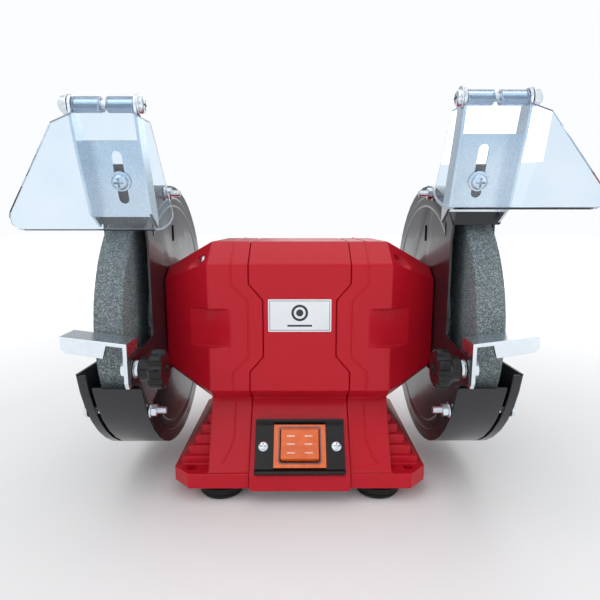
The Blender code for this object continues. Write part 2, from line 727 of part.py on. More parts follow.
def shield_bracket(side_name, side, material):
    """A slotted channel whose sides point at the operator and carry the hinge."""
    name = f"{side_name}_shield_bracket"
    half, t = bracket_width / 2, bracket_sheet
    raised = bracket_raise[side_name]
    web = block(name, (-half, -gap - t, -web_below_screw), (half, -gap, web_above_screw), material)
    front = -gap - bracket_flange
    ear = [(-hinge_forward + 6 * mm * math.sin(a), hinge_above_screw + 6 * mm * math.cos(a))
           for a in half_turn(-math.pi / 2)]
    low = -web_below_screw
    cheek = [(-gap, low), (-gap - 3 * mm, low - 7 * mm), (front, low + 6 * mm),
             (front, web_above_screw), *ear, (-gap, web_above_screw)]
    pieces = [along_x(f"{name}_cheek_{end}", cheek, end * half, end * (half - t)) for end in (-1, 1)]
    join(web, *pieces)
    radius = clamp_bolt_radius + gap
    low, high = -slot_low + radius, slot_length - slot_low - radius
    outline = [(radius * math.cos(a), high + radius * math.sin(a)) for a in half_turn(0)]
    outline += [(radius * math.cos(a), low + radius * math.sin(a)) for a in half_turn(math.pi)]
    slot = along_y(f"{name}_slot", outline, -10 * mm, 5 * mm)
    holes = [slot]
    for end in (-1, 1):
        low, high = end * (half - t - mm), end * (half + mm)
        hole = rod(f"{name}_pin_hole_{end}", low, high, hinge_bolt_radius + gap / 2)
        pin_y, pin_z = -hinge_forward, hinge_above_screw
        c, s = math.cos(bracket_lean), math.sin(bracket_lean)
        hole.location = (0, pin_y * c - pin_z * s, pin_y * s + pin_z * c)
        holes.append(hole)
    cut(web, *holes)
    for item in (web, *pieces, slot):
        lean(move(item, side * bracket_centre), bracket_origin(), raised)
    seat = Vector(web.location)
    for hole in holes[1:]:
        hole.location = Vector(hole.location) + seat
    return web


def hinge_place(side_name):
    """(y, z) of the shield's hinge."""
    c, s = math.cos(bracket_lean), math.sin(bracket_lean)
    y, z = bracket_origin()
    along = hinge_above_screw + bracket_raise[side_name]
    return y - hinge_forward * c - along * s, z - hinge_forward * s + along * c


def shield_reach(side_name):
    """How far the shield's lower edge stands in front of the arbor."""
    tilt = shield_tilt[side_name]
    return -hinge_place(side_name)[0] + knuckle_radius * math.cos(tilt) + shield_height * math.sin(tilt)


def eye_shield(side_name, side, material):
    """A clear panel with a narrow neck, rolled round the hinge in two knuckles, and flared sides."""
    name = f"{side_name}_eye_shield"
    neck, shoulder, bottom = shield_neck / 2, shield_shoulder / 2, shield_bottom / 2
    corner = 9 * mm
    right = [(neck, 0), (neck, -8 * mm), (shoulder, -14 * mm)]
    drop = -shield_height
    lean_side = math.atan2(bottom - shoulder, shield_height - 14 * mm)
    centre = (bottom - corner, drop + corner)
    right += [(centre[0] + corner * math.cos(a), centre[1] - corner * math.sin(a))
              for a in [-lean_side / 2 + i * (math.pi / 2 + lean_side / 2) / 5 for i in range(6)]]
    split = knuckle_split / 2
    notch = [(-split, 0), (-split, -7 * mm), (split, -7 * mm), (split, 0)]
    outline = notch + right + [(-x, z) for x, z in reversed(right)]
    front = -knuckle_radius
    panel = along_y(name, outline, front, front + shield_sheet, material)
    tools = []
    for end in (-1, 1):
        low, high = sorted((end * split, end * neck))
        tools.append(rod(f"{name}_knuckle_{end}", low, high, knuckle_radius, steps=16))
    join(panel, *tools)
    bore = rod(f"{name}_bore", -neck - mm, neck + mm, hinge_bolt_radius + gap, steps=12)
    cut(panel, bore)
    y, z = hinge_place(side_name)
    for item in (panel, *tools, bore):
        move(item, side * bracket_centre, y, z)
        item.rotation_euler.x = -shield_tilt[side_name]
    return panel


def shield_hardware(side_name, side, materials):
    """The bracket's screw and washer, and the hinge's bolt and nut."""
    t, r = bracket_sheet, clamp_bolt_radius
    face = -gap - t - gap
    screw = [(face - 4.6 * mm, 0), (face - 4 * mm, 3.4 * mm), (face - 2.4 * mm, 5.2 * mm),
             (face - 1.2 * mm, 5.4 * mm), (face - 1.2 * mm, 6.3 * mm), (face, 6.3 * mm), (face, r),
             (2 * mm + gap, r), (2 * mm + gap, 5.2 * mm), (6.5 * mm, 5.2 * mm), (6.5 * mm, r),
             (8.5 * mm, r), (8.5 * mm, 0)]
    piece = turned(f"{side_name}_shield_screw", screw, materials["zinc"], 12, "Y")
    lean(move(piece, side * bracket_centre), bracket_origin())
    half = bracket_width / 2 + gap
    y, z = hinge_place(side_name)
    r = hinge_bolt_radius
    nut = (half + gap, half + gap + 4.6 * mm)
    bolt = [(-half - 3.6 * mm, 0), (-half - 3 * mm, 3.6 * mm), (-half - mm, 5 * mm), (-half, 5 * mm),
            (-half, r), (nut[1] + 1.5 * mm, r), (nut[1] + 1.5 * mm, 0)]
    pin = turned(f"{side_name}_hinge_bolt", mirrored(bolt, side), materials["zinc"], 12)
    move(pin, side * bracket_centre, y, z)
    corners = polygon(5.6 * mm, 6)
    hexagon = along_x(f"{side_name}_hinge_nut", corners, side * nut[0], side * nut[1], materials["zinc"])
    bore = rod(f"{side_name}_hinge_nut_bore", side * (nut[0] - mm), side * (nut[1] + mm), r + gap / 2)
    cut(hexagon, bore)
    for item in (hexagon, bore):
        move(item, side * bracket_centre, y, z)


# Switch and gland

def switch(materials):
    wide, high = bezel_size
    out, lip = gap + bezel_thickness, bezel_lip
    half = [(-gap, -high / 2), (-out - lip, -high / 2), (-out - lip, -high / 2 + 2 * mm),
            (-out, -high / 2 + 4 * mm)]
    section = half + [(y, -z) for y, z in reversed(half)]
    bezel = along_x("switch_bezel", section, -wide / 2, wide / 2, materials["black_plastic"])
    body_x, body_z = switch_body_size[0] / 2, switch_body_size[1] / 2
    wide, high = body_x + gap, body_z + gap
    window = block("bezel_window", (-wide, -20 * mm, -high), (wide, 20 * mm, high))
    cut(bezel, window)
    items = [bezel, window]
    for side in (-1, 1):
        hole = rod(f"bezel_screw_hole_{side}", -20 * mm, 20 * mm, 1.9 * mm + gap, axis="Y")
        cut(bezel, move(hole, side * switch_screw_spread / 2))
        items.append(hole)
    cover_x, cover_z = cover_size[0] / 2, cover_size[1] / 2
    face = -out - gap
    cover = block("switch_body", (-cover_x, face - cover_thickness, -cover_z), (cover_x, face, cover_z),
                  materials["orange_plastic"])
    housing = block("switch_case", (-body_x, face - mm, -body_z), (body_x, switch_body_depth, body_z))
    join(cover, housing)
    rocker_x, rocker_z = rocker_size[0] / 2, rocker_size[1] / 2
    well = block("switch_well", (-rocker_x - 2 * gap, -20 * mm, -rocker_z - 3 * gap),
                 (rocker_x + 2 * gap, 9 * mm, rocker_z + 3 * gap))
    cut(cover, well)
    pivot = face + 1.5 * mm
    crown = -cover_thickness - 4.5 * mm
    outline = [(crown, -rocker_z), (crown + 2.2 * mm, 0), (crown, rocker_z), (0, rocker_z),
               (6 * mm, 3 * mm), (6 * mm, -3 * mm), (0, -rocker_z)]
    rocker = along_x("switch_rocker", outline, -rocker_x, rocker_x, materials["orange_plastic"])
    items += [cover, housing, well]
    for side_name, side in (("left", -1), ("right", 1)):
        start = -out - gap
        profile = [(start - 1.8 * mm, 0), (start - 1.3 * mm, 2.6 * mm), (start, 3.8 * mm),
                   (start, 1.9 * mm), (-gap, 1.9 * mm), (-gap, 0)]
        screw = turned(f"{side_name}_switch_screw", profile, materials["zinc"], 12, "Y")
        items.append(move(screw, side * switch_screw_spread / 2))
    for item in items + [rocker]:
        place_on_panel(item)
    slope = rocker.rotation_euler.x
    rocker.location += Vector((0, pivot * math.cos(slope), pivot * math.sin(slope)))
    rocker.rotation_euler.x = slope - rocker_swing


def cable_gland(material):
    """The inlet on the back of the pedestal."""
    bore, neck, collar = gland_bore, gland_radius - gland_collar, gland_radius
    profile = [(-12 * mm, bore), (-12 * mm, neck), (gap, neck), (gap, collar), (4 * mm, collar),
               (6 * mm, neck + mm), (16 * mm, bore + 2 * mm), (16 * mm, bore)]
    smooth(place_on_rear(turned("cable_gland", profile, material, 16, "Y", closed=True)))


clear_scene()
arbor = bpy.data.objects.new("arbor", None)
bpy.context.scene.collection.objects.link(arbor)
front_reach = max(shield_reach(name) for name in ("left", "right"))
arbor.location = (0, (front_reach - guard_radius) / 2, arbor_height)

finishes = {
    "red_paint": look("red_paint", (0.55, 0.012, 0.028), 0.32),
    "black_paint": look("black_paint", (0.02, 0.022, 0.028), 0.3),
    "black_plastic": look("black_plastic", (0.012, 0.012, 0.014), 0.35),
    "zinc": look("zinc", (0.72, 0.76, 0.8), 0.28, 1.0),
    "steel": look("steel", (0.55, 0.55, 0.56), 0.3, 1.0),
    "aluminium": look("aluminium", (0.75, 0.76, 0.78), 0.4, 1.0),
    "lamination": look("lamination", (0.3, 0.3, 0.32), 0.5, 1.0),
    "copper": look("copper", (0.72, 0.3, 0.12), 0.4, 1.0),
    "rubber": look("rubber", (0.02, 0.02, 0.02), 0.75),
    "abrasive": look("abrasive", (0.3, 0.36, 0.36), 0.95),
    "clear_plastic": look("clear_plastic", (0.8, 0.92, 0.98), 0.06, 0.0, 0.3),
    "orange_plastic": look("orange_plastic", (0.85, 0.22, 0.03), 0.25),
}

centre_housing(finishes["red_paint"])
base(finishes)
motor(finishes)
switch(finishes)
cable_gland(finishes["black_plastic"])
for number, (bolt_y, bolt_z) in enumerate(tie_bolt_places(), 1):
    tie_bolt(f"tie_bolt_{number}", bolt_y, bolt_z, finishes["zinc"])
for side_name, side in (("left", -1), ("right", 1)):
    end_housing(side_name, side, finishes["red_paint"])
    wheel_set(side_name, side, finishes)
    inner_guard(side_name, side, finishes["black_paint"])
    outer_cover(side_name, side, finishes["black_paint"])
    for place in guard_bolt_angles:
        guard_bolt(side_name, side, place, finishes["zinc"])
    tool_rest(side_name, side, finishes["zinc"])
    rest_clamp(side_name, side, finishes)
    shield_bracket(side_name, side, finishes["zinc"])
    eye_shield(side_name, side, finishes["clear_plastic"])
    shield_hardware(side_name, side, finishes)
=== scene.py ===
import json
from math import cos, pi, radians, sin

import bmesh
import bpy
from mathutils import Matrix, Vector
from mathutils.bvhtree import BVHTree


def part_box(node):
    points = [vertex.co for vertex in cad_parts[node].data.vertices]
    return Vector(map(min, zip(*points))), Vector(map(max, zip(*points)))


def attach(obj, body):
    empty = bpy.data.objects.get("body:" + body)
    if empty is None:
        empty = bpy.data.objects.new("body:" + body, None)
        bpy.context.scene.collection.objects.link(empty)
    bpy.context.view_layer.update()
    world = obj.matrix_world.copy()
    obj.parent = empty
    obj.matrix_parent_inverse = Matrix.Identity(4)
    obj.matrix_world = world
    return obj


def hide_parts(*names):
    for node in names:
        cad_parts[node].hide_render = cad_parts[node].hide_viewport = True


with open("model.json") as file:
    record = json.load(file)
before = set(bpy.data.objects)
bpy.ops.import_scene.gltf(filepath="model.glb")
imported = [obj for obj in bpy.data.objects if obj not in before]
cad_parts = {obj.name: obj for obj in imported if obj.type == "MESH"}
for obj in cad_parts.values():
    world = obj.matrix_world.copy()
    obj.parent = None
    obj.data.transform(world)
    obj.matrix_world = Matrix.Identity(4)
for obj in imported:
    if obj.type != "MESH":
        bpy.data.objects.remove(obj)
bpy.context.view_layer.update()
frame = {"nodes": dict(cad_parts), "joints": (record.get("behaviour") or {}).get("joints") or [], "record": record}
cadNodes = frame["nodes"]
mm = 0.001
sideSigns = {"left": -1, "right": 1}
print("frame loaded")

scene = bpy.context.scene
scene.view_settings.view_transform = "Standard"


def deselectAll():
    if bpy.context.object and bpy.context.object.mode != "OBJECT":
        bpy.ops.object.mode_set(mode="OBJECT")
    bpy.ops.object.select_all(action="DESELECT")


def makeActive(piece):
    deselectAll()
    piece.select_set(True)
    bpy.context.view_layer.objects.active = piece


def editWhole(piece):
    makeActive(piece)
    bpy.ops.object.mode_set(mode="EDIT")
    bpy.ops.mesh.select_all(action="SELECT")


def leaveEdit():
    bpy.ops.object.mode_set(mode="OBJECT")


def selectWhere(piece, kind, test):
    # kind is "verts", "edges" or "faces"; the piece is in edit mode
    bpy.ops.mesh.select_mode(type={"verts": "VERT", "edges": "EDGE", "faces": "FACE"}[kind])
    bpy.ops.mesh.select_all(action="DESELECT")
    mesh = bmesh.from_edit_mesh(piece.data)
    found = [element for element in getattr(mesh, kind) if test(element)]
    for element in found:
        element.select_set(True)
    mesh.select_flush_mode()
    bmesh.update_edit_mesh(piece.data)
    return len(found)


def isCorner(edge, angle):
    return len(edge.link_faces) == 2 and edge.calc_face_angle() > radians(angle)


def applyModifiers(piece):
    makeActive(piece)
    for modifier in list(piece.modifiers):
        bpy.ops.object.modifier_apply(modifier=modifier.name)


def smooth(piece, angle=32):
    makeActive(piece)
    bpy.ops.object.shade_smooth_by_angle(angle=radians(angle))


def weightNormals(piece):
    # broad faces stay flat and the rounded edges carry the whole turn
    makeActive(piece)
    modifier = piece.modifiers.new("weights", "WEIGHTED_NORMAL")
    modifier.keep_sharp = True
    modifier.weight = 60
    applyModifiers(piece)


def place(piece, matrix):
    makeActive(piece)
    piece.matrix_world = matrix
    bpy.ops.object.transform_apply(location=True, rotation=True, scale=True)


def settle(piece, body, slot, material, *nodes):
    # the piece gets its finish, its body and the solids that it stands for
    piece.data.materials.clear()
    piece.data.materials.append(material)
    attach(piece, body)
    if nodes:
        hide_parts(*nodes)
    return piece


def bodyOf(nodeName):
    bodies = frame["record"]["behaviour"]["bodies"]
    return next(body for body, members in bodies.items() if nodeName in members)


def nodeCentre(nodeName):
    low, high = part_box(nodeName)
    return (low + high) / 2


def facing(axis):
    # turns +Z to the axis
    return Vector(axis).to_track_quat("Z", "Y").to_matrix().to_4x4()


def flatNormal(nodeName, towards):
    # the normal of the node's largest flat that faces a direction
    sums = {}
    for polygon in cadNodes[nodeName].data.polygons:
        if polygon.normal.dot(Vector(towards)) > 0.5:
            key = tuple(round(value, 2) for value in polygon.normal)
            sums[key] = sums.get(key, 0) + polygon.area
    return Vector(max(sums, key=sums.get)).normalized()


def turned(name, rings, steps=32):
    # rings are (radius, height) from the bottom cap to the top cap
    deselectAll()
    radius, height = rings[0]
    bpy.ops.mesh.primitive_circle_add(
        vertices=steps, radius=radius, fill_type="NGON", location=(0, 0, height))
    piece = bpy.context.object
    piece.name = name
    bpy.ops.object.transform_apply(location=True, rotation=True, scale=True)
    bpy.ops.object.mode_set(mode="EDIT")
    bpy.ops.mesh.select_mode(type="FACE")
    bpy.ops.mesh.select_all(action="SELECT")
    for nextRadius, nextHeight in rings[1:]:
        bpy.ops.mesh.extrude_region_move(TRANSFORM_OT_translate={"value": (0, 0, nextHeight - height)})
        growth = nextRadius / radius
        bpy.ops.transform.resize(value=(growth, growth, 1), center_override=(0, 0, nextHeight))
        radius, height = nextRadius, nextHeight
    bpy.ops.mesh.select_all(action="SELECT")
    bpy.ops.mesh.normals_make_consistent(inside=False)
    leaveEdit()
    return piece


def copyOf(piece, name):
    twin = bpy.data.objects.new(name, piece.data.copy())
    scene.collection.objects.link(twin)
    return twin


def joined(name, pieces):
    deselectAll()
    for piece in pieces:
        piece.select_set(True)
    bpy.context.view_layer.objects.active = pieces[0]
    if len(pieces) > 1:
        bpy.ops.object.join()
    pieces[0].name = name
    return pieces[0]


roundingLook = {"room": 2.2, "sharp": 9, "smooth": 24, "segments": 3, "mergeWithin": 0.00001, "flat": 0.6}


def roundedCopy(nodeName, width, clamp=True):
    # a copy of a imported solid, merged, with every edge that has room for it rounded
    need = roundingLook["room"] * width
    piece = bpy.data.objects.new(nodeName + "_finish", cadNodes[nodeName].data.copy())
    scene.collection.objects.link(piece)
    editWhole(piece)
    bpy.ops.mesh.customdata_custom_splitnormals_clear()
    bpy.ops.mesh.remove_doubles(threshold=roundingLook["mergeWithin"])
    bpy.ops.mesh.dissolve_limited(angle_limit=radians(roundingLook["flat"]))

    def hasRoom(edge):
        if len(edge.link_faces) != 2 or edge.calc_face_angle() < radians(roundingLook["sharp"]):
            return False
        if edge.calc_length() < need:
            return False
        for face in edge.link_faces:
            middle = (edge.verts[0].co + edge.verts[1].co) / 2
            along = (edge.verts[1].co - edge.verts[0].co).normalized()
            offsets = [vert.co - middle for vert in face.verts]
            if max((offset - along * offset.dot(along)).length for offset in offsets) < need:
                return False
        return True

    found = selectWhere(piece, "edges", hasRoom)
    if found:
        bpy.ops.mesh.bevel(
            offset=width, offset_type="OFFSET", segments=roundingLook["segments"], affect="EDGES",
            clamp_overlap=clamp)
    leaveEdit()
    smooth(piece, roundingLook["smooth"])
    weightNormals(piece)
    print("  rounded", nodeName, found, "edges,", len(piece.data.polygons), "faces")
    return piece


def nodeAt(tree, kind, **inputs):
    node = tree.nodes.new(kind)
    for socket, value in inputs.items():
        node.inputs[socket.replace("_", " ")].default_value = value
    return node


def newFinish(name, **shaderInputs):
    material = bpy.data.materials.new(name)
    material.use_nodes = True
    tree = material.node_tree
    shader = tree.nodes["Principled BSDF"]
    for socket, value in shaderInputs.items():
        shader.inputs[socket.replace("_", " ")].default_value = value
    coordinates = tree.nodes.new("ShaderNodeTexCoord")
    return material, tree, shader, coordinates.outputs["Object"]


def noise(tree, place, scale, detail=4.0, roughness=0.55):
    node = nodeAt(tree, "ShaderNodeTexNoise", Scale=scale, Detail=detail, Roughness=roughness)
    tree.links.new(place, node.inputs["Vector"])
    return node.outputs["Fac"]


def stretched(tree, place, scale):
    mapping = tree.nodes.new("ShaderNodeMapping")
    mapping.inputs["Scale"].default_value = scale
    tree.links.new(place, mapping.inputs["Vector"])
    return mapping.outputs["Vector"]


def ramp(tree, factor, *stops):
    node = tree.nodes.new("ShaderNodeValToRGB")
    band = node.color_ramp
    while len(band.elements) < len(stops):
        band.elements.new(0.5)
    for element, (position, color) in zip(band.elements, stops):
        element.position = position
        element.color = color if len(color) == 4 else (*color, 1)
    tree.links.new(factor, node.inputs["Fac"])
    return node.outputs["Color"]


def remap(tree, factor, low, high, fromLow=0.3, fromHigh=0.7):
    node = tree.nodes.new("ShaderNodeMapRange")
    node.inputs["From Min"].default_value = fromLow
    node.inputs["From Max"].default_value = fromHigh
    node.inputs["To Min"].default_value = low
    node.inputs["To Max"].default_value = high
    tree.links.new(factor, node.inputs["Value"])
    return node.outputs["Result"]


def bump(tree, shader, height, strength, distance, before=None):
    node = nodeAt(tree, "ShaderNodeBump", Strength=strength, Distance=distance)
    tree.links.new(height, node.inputs["Height"])
    if before:
        tree.links.new(before, node.inputs["Normal"])
    tree.links.new(node.outputs["Normal"], shader.inputs["Normal"])
    return node.outputs["Normal"]


def edgeWearAndHighlight(tree, soft=0.48, hard=0.56):
    # bright where the surface is convex: partly rubbed wear, partly a painted edge highlight
    geometry = tree.nodes.new("ShaderNodeNewGeometry")
    return remap(tree, geometry.outputs["Pointiness"], 0, 1, soft, hard)


def blendColors(tree, factor, first, second):
    node = tree.nodes.new("ShaderNodeMix")
    node.data_type = "RGBA"
    tree.links.new(factor, node.inputs["Factor"])
    for socket, value in ((6, first), (7, second)):
        if isinstance(value, tuple):
            node.inputs[socket].default_value = (*value, 1)
        else:
            tree.links.new(value, node.inputs[socket])
    return node.outputs[2]


paintLook = {
    "deep": (0.50, 0.0055, 0.017), "bright": (0.545, 0.0075, 0.021), "rough": (0.30, 0.38),
    "peelScale": 900, "peelDepth": 0.00003, "gloss": 0.22, "coat": 0.10,
}


def makePaint(name, look):
    material, tree, shader, place = newFinish(
        name, Coat_Weight=look["coat"], Coat_Roughness=0.07, Specular_IOR_Level=look["gloss"])
    cloud = noise(tree, place, 9, 2)
    dust = noise(tree, place, 380, 3)
    color = ramp(tree, cloud, (0.25, look["deep"]), (0.75, look["bright"]))
    specks = remap(tree, dust, 0, 0.35, 0.66, 0.80)
    dusty = tuple(min(1, 0.8 * value + 0.05) for value in look["bright"])
    tree.links.new(blendColors(tree, specks, color, dusty), shader.inputs["Base Color"])
    mottle = noise(tree, place, 40, 4)
    tree.links.new(remap(tree, mottle, *look["rough"]), shader.inputs["Roughness"])
    peel = noise(tree, place, look["peelScale"], 2)
    bump(tree, shader, peel, 0.2, look["peelDepth"])
    return material


redPaint = makePaint("redPaint", paintLook)
blackPaint = makePaint("blackPaint", {
    "deep": (0.012, 0.0125, 0.016), "bright": (0.018, 0.019, 0.024), "rough": (0.20, 0.27),
    "peelScale": 700, "peelDepth": 0.00004, "gloss": 0.4, "coat": 0.2,
})
blackPlastic = makePaint("blackPlastic", {
    "deep": (0.006, 0.006, 0.007), "bright": (0.010, 0.010, 0.011), "rough": (0.20, 0.30),
    "peelScale": 1600, "peelDepth": 0.00003, "gloss": 0.3, "coat": 0.0,
})
rubber = makePaint("rubber", {
    "deep": (0.009, 0.009, 0.009), "bright": (0.018, 0.017, 0.017), "rough": (0.55, 0.72),
    "peelScale": 1200, "peelDepth": 0.0001, "gloss": 0.2, "coat": 0.0,
})


def makeMetal(name, dull, bright, rough, grain, wearAndHighlight=0.0, brushed=(1, 1, 1)):
    material, tree, shader, place = newFinish(name, Metallic=1.0)
    cloud = noise(tree, place, 40, 6, 0.65)
    color = ramp(tree, cloud, (0.32, dull), (0.68, bright))
    # convex edges get a lighter colour: rubbed wear and a painted edge highlight
    if wearAndHighlight:
        color = blendColors(tree, edgeWearAndHighlight(tree), color, tuple(min(1, value * wearAndHighlight) for value in bright))
    tree.links.new(color, shader.inputs["Base Color"])
    streaks = noise(tree, stretched(tree, place, brushed), grain, 4)
    tree.links.new(remap(tree, streaks, *rough), shader.inputs["Roughness"])
    bump(tree, shader, streaks, 0.12, 0.00004)
    return material


zinc = makeMetal("zinc", (0.60, 0.66, 0.71), (0.72, 0.78, 0.83), (0.24, 0.36), 500, 1.05)
steel = makeMetal("steel", (0.36, 0.36, 0.37), (0.52, 0.52, 0.53), (0.24, 0.42), 420, 1.1, (6, 1, 1))
aluminium = makeMetal("aluminium", (0.60, 0.60, 0.62), (0.78, 0.78, 0.80), (0.30, 0.48), 300)
lamination = makeMetal(
    "lamination", (0.20, 0.20, 0.22), (0.34, 0.34, 0.36), (0.42, 0.58), 600, 0, (30, 1, 1))
copper = makeMetal("copper", (0.62, 0.23, 0.09), (0.82, 0.38, 0.17), (0.26, 0.42), 380, 0, (1, 1, 8))


def makeAbrasive():
    material, tree, shader, place = newFinish("abrasive", Specular_IOR_Level=0.25)
    grains = nodeAt(tree, "ShaderNodeTexVoronoi", Scale=1700)
    tree.links.new(place, grains.inputs["Vector"])
    shade = tree.nodes.new("ShaderNodeSeparateColor")
    tree.links.new(grains.outputs["Color"], shade.inputs["Color"])
    speckle = ramp(
        tree, shade.outputs["Red"],
        (0.00, (0.060, 0.074, 0.082)), (0.35, (0.125, 0.155, 0.167)),
        (0.72, (0.200, 0.245, 0.255)), (0.95, (0.40, 0.46, 0.46)),
    )
    dirt = remap(tree, noise(tree, place, 24, 3), 0, 0.35)
    tinted = blendColors(tree, dirt, speckle, (0.20, 0.225, 0.235))
    tree.links.new(tinted, shader.inputs["Base Color"])
    tree.links.new(remap(tree, shade.outputs["Green"], 0.72, 0.96, 0, 1), shader.inputs["Roughness"])
    coarse = bump(tree, shader, noise(tree, place, 900, 4, 0.7), 0.3, 0.0003)
    bump(tree, shader, grains.outputs["Distance"], 0.35, 0.0002, coarse)
    return material


abrasive = makeAbrasive()


def makeClear():
    material, tree, shader, place = newFinish(
        "clearPlastic", IOR=1.42, Specular_IOR_Level=0.1,
    )
    haze = noise(tree, place, 30, 4)
    tree.links.new(remap(tree, haze, 0.0, 0.018), shader.inputs["Roughness"])
    sheet = ramp(tree, haze, (0.3, (0.69, 0.81, 0.92)), (0.7, (0.76, 0.865, 0.95)))
    # painted light: the cut edges get a pale blue colour and pass less light, a painted edge glow
    rim = tree.nodes.new("ShaderNodeAttribute")
    rim.attribute_name = "rim"
    paintedEdgeGlow = blendColors(tree, rim.outputs["Fac"], sheet, (0.60, 0.72, 0.86))
    tree.links.new(paintedEdgeGlow, shader.inputs["Base Color"])
    tree.links.new(remap(tree, rim.outputs["Fac"], 1.0, 0.3, 0, 1), shader.inputs["Transmission Weight"])
    bump(tree, shader, noise(tree, place, 14, 2), 0.04, 0.0005)
    return material


clearPlastic = makeClear()


def makeOrange(name, deep, bright, transmission):
    material, tree, shader, place = newFinish(
        name, Transmission_Weight=transmission, IOR=1.46, Coat_Weight=0.3, Coat_Roughness=0.06)
    cloud = noise(tree, place, 130, 4)
    tree.links.new(ramp(tree, cloud, (0.3, deep), (0.7, bright)), shader.inputs["Base Color"])
    tree.links.new(remap(tree, noise(tree, place, 400, 3), 0.16, 0.30), shader.inputs["Roughness"])
    bump(tree, shader, noise(tree, place, 900, 2), 0.15, 0.00003)
    return material


orangePlastic = makeOrange("orangePlastic", (0.72, 0.115, 0.018), (0.86, 0.17, 0.028), 0.0)
smokedPlastic = makeOrange("smokedPlastic", (0.16, 0.075, 0.09), (0.24, 0.12, 0.14), 0.0)
# pale colour for the rocker's raised bars, a painted glint of light on the rocker
paleGlintPaint = makeOrange("paleGlintPaint", (0.85, 0.52, 0.42), (0.95, 0.68, 0.58), 0.0)


def makeLabel():
    material, tree, shader, place = newFinish("label", Coat_Weight=0.2)
    cloud = noise(tree, place, 60, 4)
    paper = ramp(tree, cloud, (0.3, (0.78, 0.83, 0.86)), (0.7, (0.84, 0.88, 0.90)))
    tree.links.new(paper, shader.inputs["Base Color"])
    tree.links.new(remap(tree, noise(tree, place, 300, 3), 0.30, 0.42), shader.inputs["Roughness"])
    return material


label = makeLabel()
labelInk = makePaint("labelInk", {
    "deep": (0.040, 0.044, 0.052), "bright": (0.062, 0.066, 0.076), "rough": (0.32, 0.44),
    "peelScale": 900, "peelDepth": 0.00001, "gloss": 0.3, "coat": 0.0,
})

finishes = {
    "red_paint": redPaint, "black_paint": blackPaint, "black_plastic": blackPlastic, "zinc": zinc,
    "steel": steel, "aluminium": aluminium, "lamination": lamination, "copper": copper, "rubber": rubber,
    "abrasive": abrasive, "clear_plastic": clearPlastic, "orange_plastic": orangePlastic,
}
print("finishes made")


def dressNode(nodeName, material):
    node = cadNodes[nodeName]
    for slotIndex in range(len(node.material_slots)):
        node.material_slots[slotIndex].material = material


slotOfNode = {}
for entry in frame["record"]["materials"]:
    for nodeName in entry.get("nodes", []):
        slotOfNode[nodeName] = entry["slot"]
for nodeName, node in cadNodes.items():
    slotName = slotOfNode.get(nodeName)
    if slotName is None and node.material_slots and node.material_slots[0].material:
        slotName = node.material_slots[0].material.name.split(".")[0]
    slotOfNode[nodeName] = slotName
    dressNode(nodeName, finishes.get(slotName, steel))
print("nodes dressed", sorted(set(str(name) for name in slotOfNode.values())))


def finishCopy(nodeName, width, clamp):
    piece = roundedCopy(nodeName, width, clamp)
    slotName = slotOfNode[nodeName]
    return settle(piece, bodyOf(nodeName), slotName, finishes[slotName], nodeName)


def markEdgeGlowFaces(piece):
    # 1 on the faces that aren't on the sheet's two broad sides, which get the painted edge glow
    across = flatNormal(piece.name.replace("_finish", ""), (0, -1, 0.3))
    rim = piece.data.attributes.new("rim", "FLOAT", "FACE")
    for polygon, value in zip(piece.data.polygons, rim.data):
        value.value = 0.0 if abs(polygon.normal.dot(across)) > 0.8 or polygon.area > 60 * mm * mm else 1.0


roundings = {
    "centre_housing": 1.2, "left_end_housing": 1.2, "right_end_housing": 1.2, "base_plate": 0.4,
    "outer_cover": 0.8, "tool_rest": 0.6, "shield_bracket": 0.4, "eye_shield": 0.5,
    "inner_flange": 0.6, "outer_flange": 0.6, "switch_bezel": 0.6, "switch_body": 0.35,
    "switch_rocker": 0.8, "cable_gland": 0.6,
}
for nodeName in cadNodes:
    for ending, width in roundings.items():
        if nodeName == ending or nodeName in ("left_" + ending, "right_" + ending):
            piece = finishCopy(nodeName, width * mm, clamp="housing" not in nodeName)
            if ending == "eye_shield":
                markEdgeGlowFaces(piece)
print("copies rounded")


screwLook = {"pitch": 0.8, "threadDepth": 0.32, "crossWidth": 0.26, "crossReach": 1.15, "crossDepth": 0.62}


def threadRings(radius, low, high):
    # ridges from the chamfered tip upwards
    pitch, depth = screwLook["pitch"] * mm, screwLook["threadDepth"] * mm
    rings = [(radius - depth, low), (radius, low + depth)]
    height = low + depth + pitch / 2
    while height + pitch / 2 < high:
        rings += [(radius - depth, height), (radius, height + pitch / 2)]
        height += pitch
    return rings + [(radius - depth, high)]


def headRings(radius, seat, height):
    # a pan head on a seat
    return [(radius, seat), (radius, seat + 0.28 * height), (0.95 * radius, seat + 0.55 * height),
            (0.80 * radius, seat + 0.80 * height), (0.52 * radius, seat + 0.96 * height),
            (0.2 * radius, seat + height)]


def cutWith(piece, cutter, operation="DIFFERENCE"):
    makeActive(piece)
    modifier = piece.modifiers.new("cut", "BOOLEAN")
    modifier.operation = operation
    modifier.solver = "EXACT"
    modifier.object = cutter
    bpy.ops.object.modifier_apply(modifier=modifier.name)
    bpy.data.objects.remove(cutter)


def boxAt(name, low, high):
    deselectAll()
    middle = (Vector(low) + Vector(high)) / 2
    size = Vector(high) - Vector(low)
    bpy.ops.mesh.primitive_cube_add(size=1, location=middle, scale=size)
    bpy.ops.object.transform_apply(location=True, rotation=True, scale=True)
    bpy.context.object.name = name
    return bpy.context.object


def cutCross(piece, headRadius, top):
    # the driver's cross in a head
    width = screwLook["crossWidth"] * headRadius / 2
    reach = screwLook["crossReach"] * headRadius / 2
    floorHeight = top - screwLook["crossDepth"] * headRadius
    for wide, deep in ((reach, width), (width, reach)):
        cutWith(piece, boxAt("cross", (-wide, -deep, floorHeight), (wide, deep, top + mm)))


